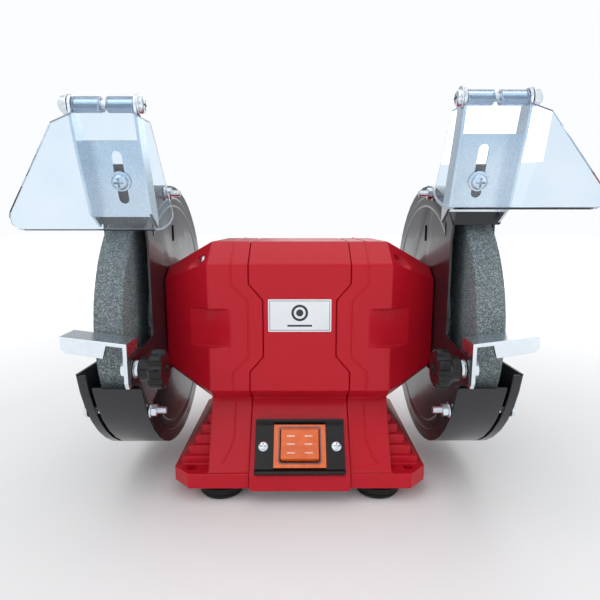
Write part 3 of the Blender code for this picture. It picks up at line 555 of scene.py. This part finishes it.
def hexNut(name, flats, low, high):
    limit = turned(name + "_limit", [
        (flats / 2 * 0.97, low), (flats / 2 * 1.13, low + 0.13 * (high - low)),
        (flats / 2 * 1.13, high - 0.13 * (high - low)), (flats / 2 * 0.97, high)], 48)
    bpy.ops.mesh.primitive_cylinder_add(
        vertices=6, radius=flats / 2 / cos(pi / 6), depth=high - low, location=(0, 0, (low + high) / 2))
    nut = bpy.context.object
    nut.name = name
    bpy.ops.object.transform_apply(location=True, rotation=True, scale=True)
    cutWith(nut, limit, "INTERSECT")
    return nut


def washer(name, radius, low, high):
    edge = min(0.25 * mm, (high - low) / 3)
    rings = [(radius - edge, low), (radius, low + edge), (radius, high - edge), (radius - edge, high)]
    return turned(name, rings, 40)


def onAxis(piece, nodeName, axis, origin, material=zinc):
    # a finished fastener, drawn along +Z, goes to its node's place
    smooth(piece, 30)
    place(piece, Matrix.Translation(origin) @ facing(axis))
    piece.name = nodeName + "_finish"
    return settle(piece, bodyOf(nodeName), slotOfNode[nodeName], material, nodeName)


guardBoltLook = {
    "shank": 2.5, "head": 4.6, "headHeight": 3.2, "flats": 8.0, "nut": 4.0, "washer": 5.4, "washerThick": 1.0,
    "gap": 0.3,
}
guardFace = min(abs(vertex.co.x) for vertex in cadNodes["left_inner_guard"].data.vertices)


def makeGuardBolt():
    v = {name: value * mm for name, value in guardBoltLook.items()}
    outer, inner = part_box("left_lower_guard_bolt")
    low, high = abs(inner.x), abs(outer.x)
    seat = guardFace - v["gap"]
    nutHigh = seat - v["washerThick"]
    nutLow = nutHigh - v["nut"]
    headSeat = high - v["headHeight"]
    shank = [(v["shank"], seat), (v["shank"], headSeat)]
    head = headRings(v["head"], headSeat, high - headSeat)
    shaft = turned("bolt", threadRings(v["shank"], low, nutHigh) + shank + head, 28)
    cutCross(shaft, v["head"], high)
    return joined("guardBolt", [shaft, hexNut("nut", v["flats"], nutLow, nutHigh),
                                washer("washer", v["washer"], nutHigh, seat)])


guardBolt = makeGuardBolt()
for sideName, sign in sideSigns.items():
    for spot in ("lower", "upper", "rear"):
        nodeName = f"{sideName}_{spot}_guard_bolt"
        middle = nodeCentre(nodeName)
        onAxis(copyOf(guardBolt, nodeName), nodeName, (sign, 0, 0), (0, middle.y, middle.z))
bpy.data.objects.remove(guardBolt)

restBoltLook = {
    "shank": 3.0, "flats": 10.0, "lockNut": 3.2, "headHeight": 3.0, "washer": 6.0, "washerThick": 0.9,
    "gap": 0.3,
}


def makeRestBolt():
    v = {name: value * mm for name, value in restBoltLook.items()}
    low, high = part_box("right_rest_bolt")[0].x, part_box("right_rest_bolt")[1].x
    nutHigh = guardFace - v["gap"]
    washerLow = nutHigh - v["washerThick"]
    shaft = turned("bolt", threadRings(v["shank"], low, high - v["headHeight"]), 28)
    head = hexNut("head", v["flats"], high - v["headHeight"], high)
    ring = washer("washer", v["washer"], washerLow, nutHigh)
    nut = hexNut("nut", v["flats"], nutHigh - v["lockNut"], washerLow)
    return joined("restBolt", [shaft, head, nut, ring])


restBolt = makeRestBolt()
for sideName, sign in sideSigns.items():
    nodeName = f"{sideName}_rest_bolt"
    middle = nodeCentre(nodeName)
    onAxis(copyOf(restBolt, nodeName), nodeName, (sign, 0, 0), (0, middle.y, middle.z))
bpy.data.objects.remove(restBolt)

shieldScrewLook = {
    "shank": 3.0, "head": 5.4, "headHeight": 3.4, "washer": 6.6, "washerThick": 1.2, "flats": 10.0,
    "seat": 2.4, "end": -8.5, "nutLow": -6.5, "nutHigh": -2.3,
}


def makeShieldScrew():
    # heights are measured from the tab's face towards the operator
    v = {name: value * mm for name, value in shieldScrewLook.items()}
    seat = v["seat"]
    headSeat = seat + v["washerThick"]
    thread = threadRings(v["shank"], v["end"], seat)
    head = headRings(v["head"], headSeat, v["headHeight"])
    shaft = turned("screw", thread + [(v["shank"], headSeat)] + head, 32)
    cutCross(shaft, v["head"], headSeat + v["headHeight"])
    return joined("shieldScrew", [
        shaft, washer("washer", v["washer"], seat, headSeat),
        hexNut("nut", v["flats"], v["nutLow"], v["nutHigh"])])


shieldScrew = makeShieldScrew()
for sideName, sign in sideSigns.items():
    nodeName = f"{sideName}_shield_screw"
    slide = next(joint for joint in frame["joints"] if joint["name"] == f"{sideName}_bracket_slide")
    upAlong = Vector(slide["axis"]).normalized()
    outwards = Vector((1, 0, 0)).cross(upAlong) * -1
    if outwards.y > 0:
        outwards = -outwards
    reaches = [vertex.co.dot(outwards) for vertex in cadNodes[nodeName].data.vertices]
    middle = nodeCentre(nodeName)
    headTop = sum(shieldScrewLook[part] for part in ("seat", "washerThick", "headHeight")) * mm
    origin = middle + outwards * (max(reaches) - headTop - middle.dot(outwards))
    ups = [vertex.co.dot(upAlong) for vertex in cadNodes[nodeName].data.vertices]
    origin += upAlong * ((max(ups) + min(ups)) / 2 - origin.dot(upAlong))
    onAxis(copyOf(shieldScrew, nodeName), nodeName, outwards, origin)
bpy.data.objects.remove(shieldScrew)

hingeLook = {
    "shank": 3.0, "head": 5.0, "headHeight": 2.6, "washer": 7.0, "washerThick": 0.9, "flats": 9.7,
    "thread": 9.0, "nutWasher": 6.2, "nutWasherThick": 0.8,
}


def makeHingeBolt(length):
    # from the nut's end at 0 up to the round head
    v = {name: value * mm for name, value in hingeLook.items()}
    seat = length - v["headHeight"] - v["washerThick"]
    headSeat = seat + v["washerThick"]
    shank = [(v["shank"], v["thread"] + 0.4 * mm), (v["shank"], headSeat)]
    head = headRings(v["head"], headSeat, v["headHeight"])
    shaft = turned("pin", threadRings(v["shank"], 0, v["thread"]) + shank + head, 32)
    cutCross(shaft, v["head"], length)
    return joined("hingeBolt", [shaft, washer("washer", v["washer"], seat, headSeat)])


for sideName, sign in sideSigns.items():
    nodeName = f"{sideName}_hinge_bolt"
    low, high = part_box(nodeName)
    middle = nodeCentre(nodeName)
    start = Vector((high.x if sign > 0 else low.x, middle.y, middle.z))
    onAxis(makeHingeBolt(high.x - low.x), nodeName, (-sign, 0, 0), start)
    nutNode = f"{sideName}_hinge_nut"
    low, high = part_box(nutNode)
    nut = hexNut("nut", hingeLook["flats"] * mm, 0, high.x - low.x)
    ring = washer("washer", hingeLook["nutWasher"] * mm, 0, hingeLook["nutWasherThick"] * mm)
    start = Vector((low.x if sign > 0 else high.x, middle.y, middle.z))
    onAxis(joined("hingeNut", [nut, ring]), nutNode, (sign, 0, 0), start)

panelOut = flatNormal("switch_bezel", (0, -1, 0.4))


switchScrewLook = {"shank": 1.9, "depth": 6.0, "head": 3.8, "headHeight": 1.8}


def makeSwitchScrew():
    v = {name: value * mm for name, value in switchScrewLook.items()}
    shank = [(v["shank"], -v["depth"]), (v["shank"], 0)]
    head = turned("screw", shank + headRings(v["head"], 0, v["headHeight"]), 32)
    cutCross(head, v["head"], v["headHeight"])
    return head


switchScrew = makeSwitchScrew()
for sideName in sideSigns:
    nodeName = f"{sideName}_switch_screw"
    points = [vertex.co for vertex in cadNodes[nodeName].data.vertices]
    tip = max(point.dot(panelOut) for point in points)
    axisCentre = sum(points, Vector()) / len(points)
    headHeight = switchScrewLook["headHeight"] * mm
    origin = axisCentre + panelOut * (tip - headHeight - axisCentre.dot(panelOut))
    onAxis(copyOf(switchScrew, nodeName), nodeName, panelOut, origin)
bpy.data.objects.remove(switchScrew)


tieBoltLook = {"shank": 2.5, "thread": 24.0, "head": 4.5, "headHeight": 3.5}


def makeTieBolt():
    v = {name: value * mm for name, value in tieBoltLook.items()}
    low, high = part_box("tie_bolt_1")
    length = high.x - low.x
    seat = length - v["headHeight"]
    shank = [(v["shank"], v["thread"] + 0.5 * mm), (v["shank"], seat)]
    head = headRings(v["head"], seat, v["headHeight"])
    bolt = turned("tieBolt", threadRings(v["shank"], 0, v["thread"]) + shank + head, 28)
    cutCross(bolt, v["head"], length)
    return bolt


tieBolt = makeTieBolt()
for number in range(1, 5):
    nodeName = f"tie_bolt_{number}"
    low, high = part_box(nodeName)
    middle = nodeCentre(nodeName)
    onAxis(copyOf(tieBolt, nodeName), nodeName, (-1, 0, 0), (high.x, middle.y, middle.z), steel)
bpy.data.objects.remove(tieBolt)

arborNutFlats = 24
for sideName, sign in sideSigns.items():
    nodeName = f"{sideName}_arbor_nut"
    low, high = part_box(nodeName)
    nut = hexNut("arborNut", arborNutFlats * mm, 0, high.x - low.x)
    middle = nodeCentre(nodeName)
    onAxis(nut, nodeName, (sign, 0, 0), (low.x if sign > 0 else high.x, middle.y, middle.z))
print("fasteners made")


knobLook = {
    "radius": 12.8, "scoop": 3.6, "scoopOut": 14.0, "star": 9.0, "hub": 8.5, "dish": 1.2, "round": 0.5,
    "lobes": 7,
}


def makeKnob():
    # the star is at the bottom, the hub above it
    v = {name: value * mm for name, value in knobLook.items()}
    lobes = knobLook["lobes"]
    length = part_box("right_rest_knob")[1].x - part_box("right_rest_knob")[0].x
    radius = v["radius"]
    star = turned("star", [
        (radius - 1.6 * mm, 0), (radius - 0.4 * mm, 0.9 * mm), (radius, 2.4 * mm),
        (radius, v["star"] - 1.8 * mm), (radius - 1.4 * mm, v["star"])], 70)
    for lobe in range(lobes):
        angle = 2 * pi * (lobe + 0.5) / lobes
        bpy.ops.mesh.primitive_cylinder_add(
            vertices=24, radius=v["scoop"], depth=30 * mm,
            location=(v["scoopOut"] * cos(angle), v["scoopOut"] * sin(angle), 5 * mm))
        bpy.ops.object.transform_apply(location=True, rotation=True, scale=True)
        cutWith(star, bpy.context.object)
    cutWith(star, turned("dish", [(5.2 * mm, -mm), (5.2 * mm, 0), (3.8 * mm, v["dish"])], 32))
    editWhole(star)
    selectWhere(star, "edges", lambda edge: isCorner(edge, 38))
    bpy.ops.mesh.bevel(offset=v["round"], segments=2, affect="EDGES", clamp_overlap=True)
    leaveEdit()
    hub = turned("hub", [(v["hub"] + 0.8 * mm, v["star"] - 0.4 * mm), (v["hub"], v["star"] + 1.0 * mm),
                         (v["hub"] - 0.4 * mm, length - 0.8 * mm), (v["hub"] - 1.2 * mm, length)], 40)
    return joined("knob", [star, hub])


knob = makeKnob()
for sideName, sign in sideSigns.items():
    nodeName = f"{sideName}_rest_knob"
    low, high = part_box(nodeName)
    middle = nodeCentre(f"{sideName}_rest_bolt")
    start = low.x if sign > 0 else high.x
    onAxis(copyOf(knob, nodeName), nodeName, (sign, 0, 0), (start, middle.y, middle.z), blackPlastic)
bpy.data.objects.remove(knob)
print("knobs made")


wheelLook = {
    "steps": 288, "acrossSteps": 9, "edge": 1.6, "hub": 50, "faceRings": (18, 9), "grainHeight": 0.08,
    "grainScale": 0.0022,
}


def makeWheel():
    low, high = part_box("right_wheel")
    radius, width = (high.z - low.z) / 2, high.x - low.x
    edge = wheelLook["edge"] * mm
    across = [(wheelLook["hub"] * mm, 0)] + [(radius - inset * mm, 0) for inset in wheelLook["faceRings"]]
    across += [(radius - edge - 2 * mm, 0), (radius - edge, 0), (radius - 0.3 * edge, 0.3 * edge)]
    face = list(across)
    count = wheelLook["acrossSteps"]
    across += [(radius, edge + (width - 2 * edge) * step / count) for step in range(count + 1)]
    across += [(reach, width - height) for reach, height in reversed(face)]
    wheel = turned("wheel", across, wheelLook["steps"])
    # grit stands proud
    texture = bpy.data.textures.new("grit", "CLOUDS")
    texture.noise_scale = wheelLook["grainScale"]
    texture.noise_depth = 2
    modifier = wheel.modifiers.new("grit", "DISPLACE")
    modifier.texture = texture
    modifier.texture_coords = "LOCAL"
    modifier.strength = 2 * wheelLook["grainHeight"] * mm
    modifier.mid_level = 0.75
    applyModifiers(wheel)
    return wheel


wheel = makeWheel()
for sideName, sign in sideSigns.items():
    nodeName = f"{sideName}_wheel"
    low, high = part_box(nodeName)
    middle = nodeCentre(nodeName)
    start = (low.x if sign > 0 else high.x, middle.y, middle.z)
    onAxis(copyOf(wheel, nodeName), nodeName, (sign, 0, 0), start, abrasive)
bpy.data.objects.remove(wheel)
print("wheels made")


def makeFoot():
    low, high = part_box("front_left_foot")
    radius, height = (high.x - low.x) / 2, high.z - low.z
    foot = turned("foot", [
        (radius - 3.2 * mm, 0), (radius - 2.4 * mm, 0.5 * mm), (radius - 1.5 * mm, 1.8 * mm),
        (radius - 0.8 * mm, 3.0 * mm), (radius - 1.6 * mm, 3.6 * mm), (radius - 0.6 * mm, 4.2 * mm),
        (radius - 0.2 * mm, 6.4 * mm), (radius, height - 0.6 * mm), (radius - 0.4 * mm, height)], 64)
    cutWith(foot, turned("pit", [(5 * mm, -mm), (5 * mm, 0), (4.6 * mm, 3 * mm)], 32))
    return foot


foot = makeFoot()
for nodeName in ("front_left_foot", "front_right_foot", "rear_left_foot", "rear_right_foot"):
    middle = nodeCentre(nodeName)
    onAxis(copyOf(foot, nodeName), nodeName, (0, 0, 1), (middle.x, middle.y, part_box(nodeName)[0].z), rubber)
bpy.data.objects.remove(foot)
print("feet made")


guardLook = {
    "bandRadius": 94, "bandWidth": 4.0, "bandHeight": 0.6, "mouth": 60, "round": 0.5,
    "slotPlace": (-6.6, 68.5), "slotSize": (7, 13), "slotReach": 3,
}
arbor = Vector((0, nodeCentre("left_wheel").y, nodeCentre("left_wheel").z))


def pressedBand(sign):
    # a rounded ring pressed out of the disc near its rim, open at the mouth
    bpy.ops.mesh.primitive_torus_add(
        major_radius=guardLook["bandRadius"] * mm, minor_radius=guardLook["bandWidth"] * mm,
        major_segments=120, minor_segments=14, location=(0, 0, 0))
    band = bpy.context.object
    flatten = guardLook["bandHeight"] / guardLook["bandWidth"]
    band.scale = (1, 1, flatten)
    bpy.ops.object.transform_apply(location=True, rotation=True, scale=True)
    place(band, Matrix.Translation((sign * guardFace, arbor.y, arbor.z)) @ facing((sign, 0, 0)))
    editWhole(band)
    bpy.ops.mesh.bisect(
        plane_co=(0, arbor.y - guardLook["mouth"] * mm, arbor.z), plane_no=(0, -1, 0), clear_outer=True,
        use_fill=True)
    leaveEdit()
    return band


for sideName, sign in sideSigns.items():
    nodeName = f"{sideName}_inner_guard"
    guard = roundedCopy(nodeName, guardLook["round"] * mm)
    reach = guardLook["slotReach"] * mm
    slotY, slotZ = (value * mm for value in guardLook["slotPlace"])
    halfY, halfZ = (value * mm / 2 for value in guardLook["slotSize"])
    middle = Vector((sign * guardFace, arbor.y + slotY, arbor.z + slotZ))
    corner = Vector((reach, halfY, halfZ))
    cutWith(guard, boxAt("window", middle - corner, middle + corner))
    settle(guard, "root", "black_paint", blackPaint, nodeName)
    pressing = pressedBand(sign)
    pressing.name = f"{sideName}_guard_pressing"
    smooth(pressing, 60)
    settle(pressing, "root", "black_paint", blackPaint)
print("guards made")


surfaceTrees = {}


def surfacePoint(nodeName, origin, direction):
    if nodeName not in surfaceTrees:
        data = cadNodes[nodeName].data
        surfaceTrees[nodeName] = BVHTree.FromPolygons(
            [vertex.co for vertex in data.vertices], [polygon.vertices for polygon in data.polygons])
    return surfaceTrees[nodeName].ray_cast(Vector(origin), Vector(direction).normalized())[:2]


beadLook = {
    "radius": 0.75, "sunk": 0.15, "wide": 49.6, "waist": 37.6, "waistHalfHeight": 21, "bend": 12,
    "barrelHalfHeight": 62, "barrelStart": -42, "barrelTurn": 264, "barrelSteps": 240,
    "legTop": 66, "legFoot": 27, "legFlare": 9, "flareTop": 45, "flarePower": 1.4, "step": 1.0,
}


def beadReach(height):
    # how far the bead is from the middle, at a height over the arbor: it narrows at the waist
    share = (abs(height) - beadLook["waistHalfHeight"]) / beadLook["bend"]
    return beadLook["waist"] + (beadLook["wide"] - beadLook["waist"]) * min(1, max(0, share))


def bead(name, points):
    curve = bpy.data.curves.new(name, "CURVE")
    curve.dimensions = "3D"
    curve.bevel_depth = beadLook["radius"] * mm
    curve.bevel_resolution = 3
    curve.use_fill_caps = True
    spline = curve.splines.new("POLY")
    spline.points.add(len(points) - 1)
    for spot, point in zip(spline.points, points):
        spot.co = (*point, 1)
    piece = bpy.data.objects.new(name, curve)
    scene.collection.objects.link(piece)
    makeActive(piece)
    bpy.ops.object.convert(target="MESH")
    smooth(piece, 60)
    return piece


def barrelBead(sideName, sign):
    points = []
    steps = beadLook["barrelSteps"]
    lowest = beadLook["barrelHalfHeight"] * mm
    for index in range(steps + 1):
        # from the front's lower edge over the top to the back's lower edge
        angle = radians(beadLook["barrelStart"]) + radians(beadLook["barrelTurn"]) * index / steps
        away = Vector((0, -cos(angle), sin(angle)))
        reach = beadLook["wide"]
        for _ in range(3):
            # the reach depends on the height found, so it settles in a few casts
            origin = arbor + Vector((sign * reach * mm, 0, 0)) + away * 0.3
            point, normal = surfacePoint(f"{sideName}_end_housing", origin, -away)
            if point is None:
                break
            reach = beadReach((point.z - arbor.z) / mm)
        if point is not None and point.z > arbor.z - lowest:
            points.append(point - normal * beadLook["sunk"] * mm)
    return bead(f"{sideName}_barrel_bead", points)


def legBead(sideName, sign, front):
    points = []
    height = beadLook["legTop"]
    while height > beadLook["legFoot"]:
        flare = max(0, beadLook["flareTop"] - height) / (beadLook["flareTop"] - beadLook["legFoot"])
        reach = beadLook["wide"] + beadLook["legFlare"] * flare ** beadLook["flarePower"]
        point, normal = surfacePoint(
            f"{sideName}_end_housing", (sign * reach * mm, -front, height * mm), (0, front, 0))
        if point is not None:
            points.append(point - normal * beadLook["sunk"] * mm)
        height -= beadLook["step"]
    return bead(f"{sideName}_{'front' if front > 0 else 'rear'}_leg_bead", points)


for sideName, sign in sideSigns.items():
    for piece in (barrelBead(sideName, sign), legBead(sideName, sign, 1), legBead(sideName, sign, -1)):
        settle(piece, "root", "red_paint", redPaint)
        print("  bead", piece.name, len(piece.data.polygons), "faces")
print("beads made")

# heights of the rows and sizes are in the switch's own plane
switchLook = {
    "frameOut": (15.7, 13.4), "frameIn": (14.7, 12.4), "frameCorner": 2.0, "frameHeight": 0.45,
    "frameRound": 0.2, "barSize": (5.8, 1.1), "barColumns": (-6.5, 6.5), "barRows": (-6.0, 0.6, 6.4),
    "barHeight": 0.22, "barSunk": 0.3, "barRound": 0.15,
}
rockerMiddle = nodeCentre("switch_rocker")


def upAlongFace(normal):
    up = Vector((1, 0, 0)).cross(normal)
    return up if up.z > 0 else -up


def onFace(point, normal):
    # turns X along the machine, Y up the face and Z out of it, and moves it to the point
    axes = Matrix((Vector((1, 0, 0)), upAlongFace(normal), normal)).transposed()
    return Matrix.Translation(point) @ axes.to_4x4()


panelUp = upAlongFace(panelOut)


def roundedFrame():
    frames = []
    for (halfWide, halfHigh), grow in ((switchLook["frameOut"], 0), (switchLook["frameIn"], 1)):
        ring = boxAt("frame", (-halfWide * mm, -halfHigh * mm, -grow * mm),
                     (halfWide * mm, halfHigh * mm, (switchLook["frameHeight"] + grow) * mm))
        editWhole(ring)
        selectWhere(ring, "edges", lambda edge: abs(edge.verts[0].co.z - edge.verts[1].co.z) > 0.1 * mm)
        bpy.ops.mesh.bevel(offset=switchLook["frameCorner"] * mm, segments=6, affect="EDGES")
        leaveEdit()
        frames.append(ring)
    cutWith(frames[0], frames[1])
    frameLine = frames[0]
    editWhole(frameLine)
    selectWhere(frameLine, "edges", lambda edge: isCorner(edge, 60) and all(
        vert.co.z > 0.1 * mm for vert in edge.verts))
    bpy.ops.mesh.bevel(offset=switchLook["frameRound"] * mm, segments=2, affect="EDGES")
    leaveEdit()
    smooth(frameLine, 40)
    return frameLine


def makeSwitchFrameAndGlintBars():
    body = cadNodes["switch_body"].data
    coverTop = max(vertex.co.dot(panelOut) for vertex in body.vertices)
    middle = sum((vertex.co for vertex in body.vertices), Vector()) / len(body.vertices)
    middle += panelOut * (coverTop - middle.dot(panelOut)) + panelUp * (rockerMiddle - middle).dot(panelUp)
    middle.x = 0
    ring = roundedFrame()
    place(ring, onFace(middle, panelOut))
    ring.name = "switch_frame_line"
    settle(ring, "root", "orange_plastic", smokedPlastic)
    # six raised bars on the rocker, coloured pale: a painted glint
    bars = []
    wide, high = (value * mm / 2 for value in switchLook["barSize"])
    for column in switchLook["barColumns"]:
        for row in switchLook["barRows"]:
            origin = middle + Vector((column * mm, 0, 0)) + panelUp * row * mm + panelOut * 0.02
            point, normal = surfacePoint("switch_rocker", origin, -panelOut)
            if point is None:
                continue
            bar = boxAt("bar", (-wide, -high, -switchLook["barSunk"] * mm),
                        (wide, high, switchLook["barHeight"] * mm))
            editWhole(bar)
            selectWhere(bar, "edges", lambda edge: all(vert.co.z > 0 for vert in edge.verts))
            bpy.ops.mesh.bevel(offset=switchLook["barRound"] * mm, segments=2, affect="EDGES")
            leaveEdit()
            place(bar, onFace(point, normal))
            bars.append(bar)
    glintBars = joined("rocker_glint_bars", bars)
    smooth(glintBars, 30)
    settle(glintBars, "switch_rocker", "orange_plastic", paleGlintPaint)
    print("  switch bars", len(bars))


makeSwitchFrameAndGlintBars()
print("switch marked")

labelLook = {
    "size": (46, 24), "raise": 10, "thick": 0.18, "margin": 1, "border": 0.7, "corner": 0.8,
    "ringRadius": 5.2, "ringWidth": 0.9, "discRadius": 2.6, "markRaise": 2,
    "barHalfLength": 9, "barDrop": (8.2, 6.8),
}


def makeLabelPlate():
    point = surfacePoint("centre_housing", (0, -1, arbor.z + labelLook["raise"] * mm), (0, 1, 0))[0]
    wide, high = (value * mm / 2 for value in labelLook["size"])
    thick = labelLook["thick"] * mm
    y, z = point.y, point.z
    surface = y - thick
    margin = labelLook["margin"] * mm
    plate = boxAt("labelPlate", (-wide, surface, z - high), (wide, y - 0.01 * mm, z + high))
    editWhole(plate)
    selectWhere(plate, "edges", lambda edge: abs(edge.verts[0].co.y - edge.verts[1].co.y) > thick / 2)
    bpy.ops.mesh.bevel(offset=labelLook["corner"] * mm, segments=4, affect="EDGES")
    leaveEdit()
    smooth(plate, 30)
    settle(plate, "root", "clear_plastic", label)
    rim = boxAt("labelRim", (-wide + margin, surface - 0.03 * mm, z - high + margin),
                (wide - margin, surface + 0.05 * mm, z + high - margin))
    inside = margin + labelLook["border"] * mm / 2
    cutWith(rim, boxAt("hole", (-wide + inside, y - 2 * mm, z - high + inside),
                       (wide - inside, y + 2 * mm, z + high - inside)))
    deselectAll()
    bpy.ops.mesh.primitive_torus_add(
        major_radius=labelLook["ringRadius"] * mm, minor_radius=labelLook["ringWidth"] * mm,
        major_segments=64, minor_segments=10)
    ring = bpy.context.object
    ring.scale = (1, 1, 0.06)
    bpy.ops.object.transform_apply(location=True, rotation=True, scale=True)
    discRadius = labelLook["discRadius"] * mm
    disc = turned("disc", [(discRadius, -0.02 * mm), (discRadius, 0.04 * mm)], 40)
    markPlace = Matrix.Translation((0, surface, z + labelLook["markRaise"] * mm)) @ facing((0, -1, 0))
    place(ring, markPlace)
    place(disc, markPlace)
    half = labelLook["barHalfLength"] * mm
    dropLow, dropHigh = (value * mm for value in labelLook["barDrop"])
    bar = boxAt("bar", (-half, surface - 0.04 * mm, z - dropLow), (half, surface + 0.02 * mm, z - dropHigh))
    mark = joined("labelMark", [rim, ring, disc, bar])
    settle(mark, "root", "black_paint", labelInk)


makeLabelPlate()
print("label made")


stageLook = {
    "floorSize": 14, "floorColor": (0.88, 0.885, 0.89), "floorPale": (0.92, 0.92, 0.925),
    "floorGlow": 0.6, "glowFrom": 0.35, "glowTo": 1.6, "worldLight": 0.5, "worldSeen": 1.0,
    "cameraPlace": (-0.001, -0.3817, 0.2038), "cameraPitch": 80.92, "cameraYaw": -0.2, "lens": 28.49,
}

deselectAll()
bpy.ops.mesh.primitive_plane_add(size=stageLook["floorSize"], location=(0, 0, -0.0002))
floor = bpy.context.object
floor.name = "studioFloor"
bpy.ops.object.transform_apply(location=True, rotation=True, scale=True)
floorPaint, floorTree, floorShader, floorPlace = newFinish("studioFloorPaint")
floorCloud = noise(floorTree, floorPlace, 2, 2)
floorTree.links.new(
    ramp(floorTree, floorCloud, (0.2, stageLook["floorColor"]), (0.8, stageLook["floorPale"])),
    floorShader.inputs["Base Color"])
floorShader.inputs["Roughness"].default_value = 0.75
# the floor brightens with distance, so that it meets the backdrop without a line
away = floorTree.nodes.new("ShaderNodeVectorMath")
away.operation = "LENGTH"
floorTree.links.new(floorPlace, away.inputs[0])
floorTree.links.new(
    remap(floorTree, away.outputs["Value"], 0.0, stageLook["floorGlow"],
          stageLook["glowFrom"], stageLook["glowTo"]),
    floorShader.inputs["Emission Strength"])
floorShader.inputs["Emission Color"].default_value = (0.98, 0.99, 1.0, 1)
floor.data.materials.append(floorPaint)

world = bpy.data.worlds.new("studioWorld")
scene.world = world
world.use_nodes = True
backdrop = world.node_tree.nodes["Background"]
backdrop.inputs["Color"].default_value = (0.97, 0.98, 1.0, 1)
rays = world.node_tree.nodes.new("ShaderNodeLightPath")
seen = world.node_tree.nodes.new("ShaderNodeMath")
seen.operation = "MAXIMUM"
world.node_tree.links.new(rays.outputs["Is Camera Ray"], seen.inputs[0])
world.node_tree.links.new(rays.outputs["Is Transmission Ray"], seen.inputs[1])
world.node_tree.links.new(
    remap(world.node_tree, seen.outputs["Value"], stageLook["worldLight"], stageLook["worldSeen"], 0, 1),
    backdrop.inputs["Strength"])

lights = {
    "keyLight": {"place": (-0.9, -1.0, 1.5), "size": 2.4, "power": 17},
    "fillLight": {"place": (1.3, -0.9, 0.9), "size": 2.4, "power": 9},
    "topLight": {"place": (0.0, 0.1, 1.9), "size": 2.0, "power": 9},
    "backLight": {"place": (0.4, 1.6, 1.0), "size": 1.2, "power": 5},
}
aim = Vector((0, 0, 0.14))
for lightName, values in lights.items():
    light = bpy.data.lights.new(lightName, "AREA")
    light.shape = "SQUARE"
    light.size = values["size"]
    light.energy = values["power"]
    lamp = bpy.data.objects.new(lightName, light)
    scene.collection.objects.link(lamp)
    lamp.location = values["place"]
    lamp.rotation_euler = (aim - lamp.location).to_track_quat("-Z", "Y").to_euler()

cameraData = bpy.data.cameras.new("photoCamera")
cameraData.lens = stageLook["lens"]
cameraData.clip_start = 0.01
camera = bpy.data.objects.new("photoCamera", cameraData)
scene.collection.objects.link(camera)
camera.location = stageLook["cameraPlace"]
camera.rotation_euler = (radians(stageLook["cameraPitch"]), 0, radians(stageLook["cameraYaw"]))
scene.camera = camera
print("stage set")
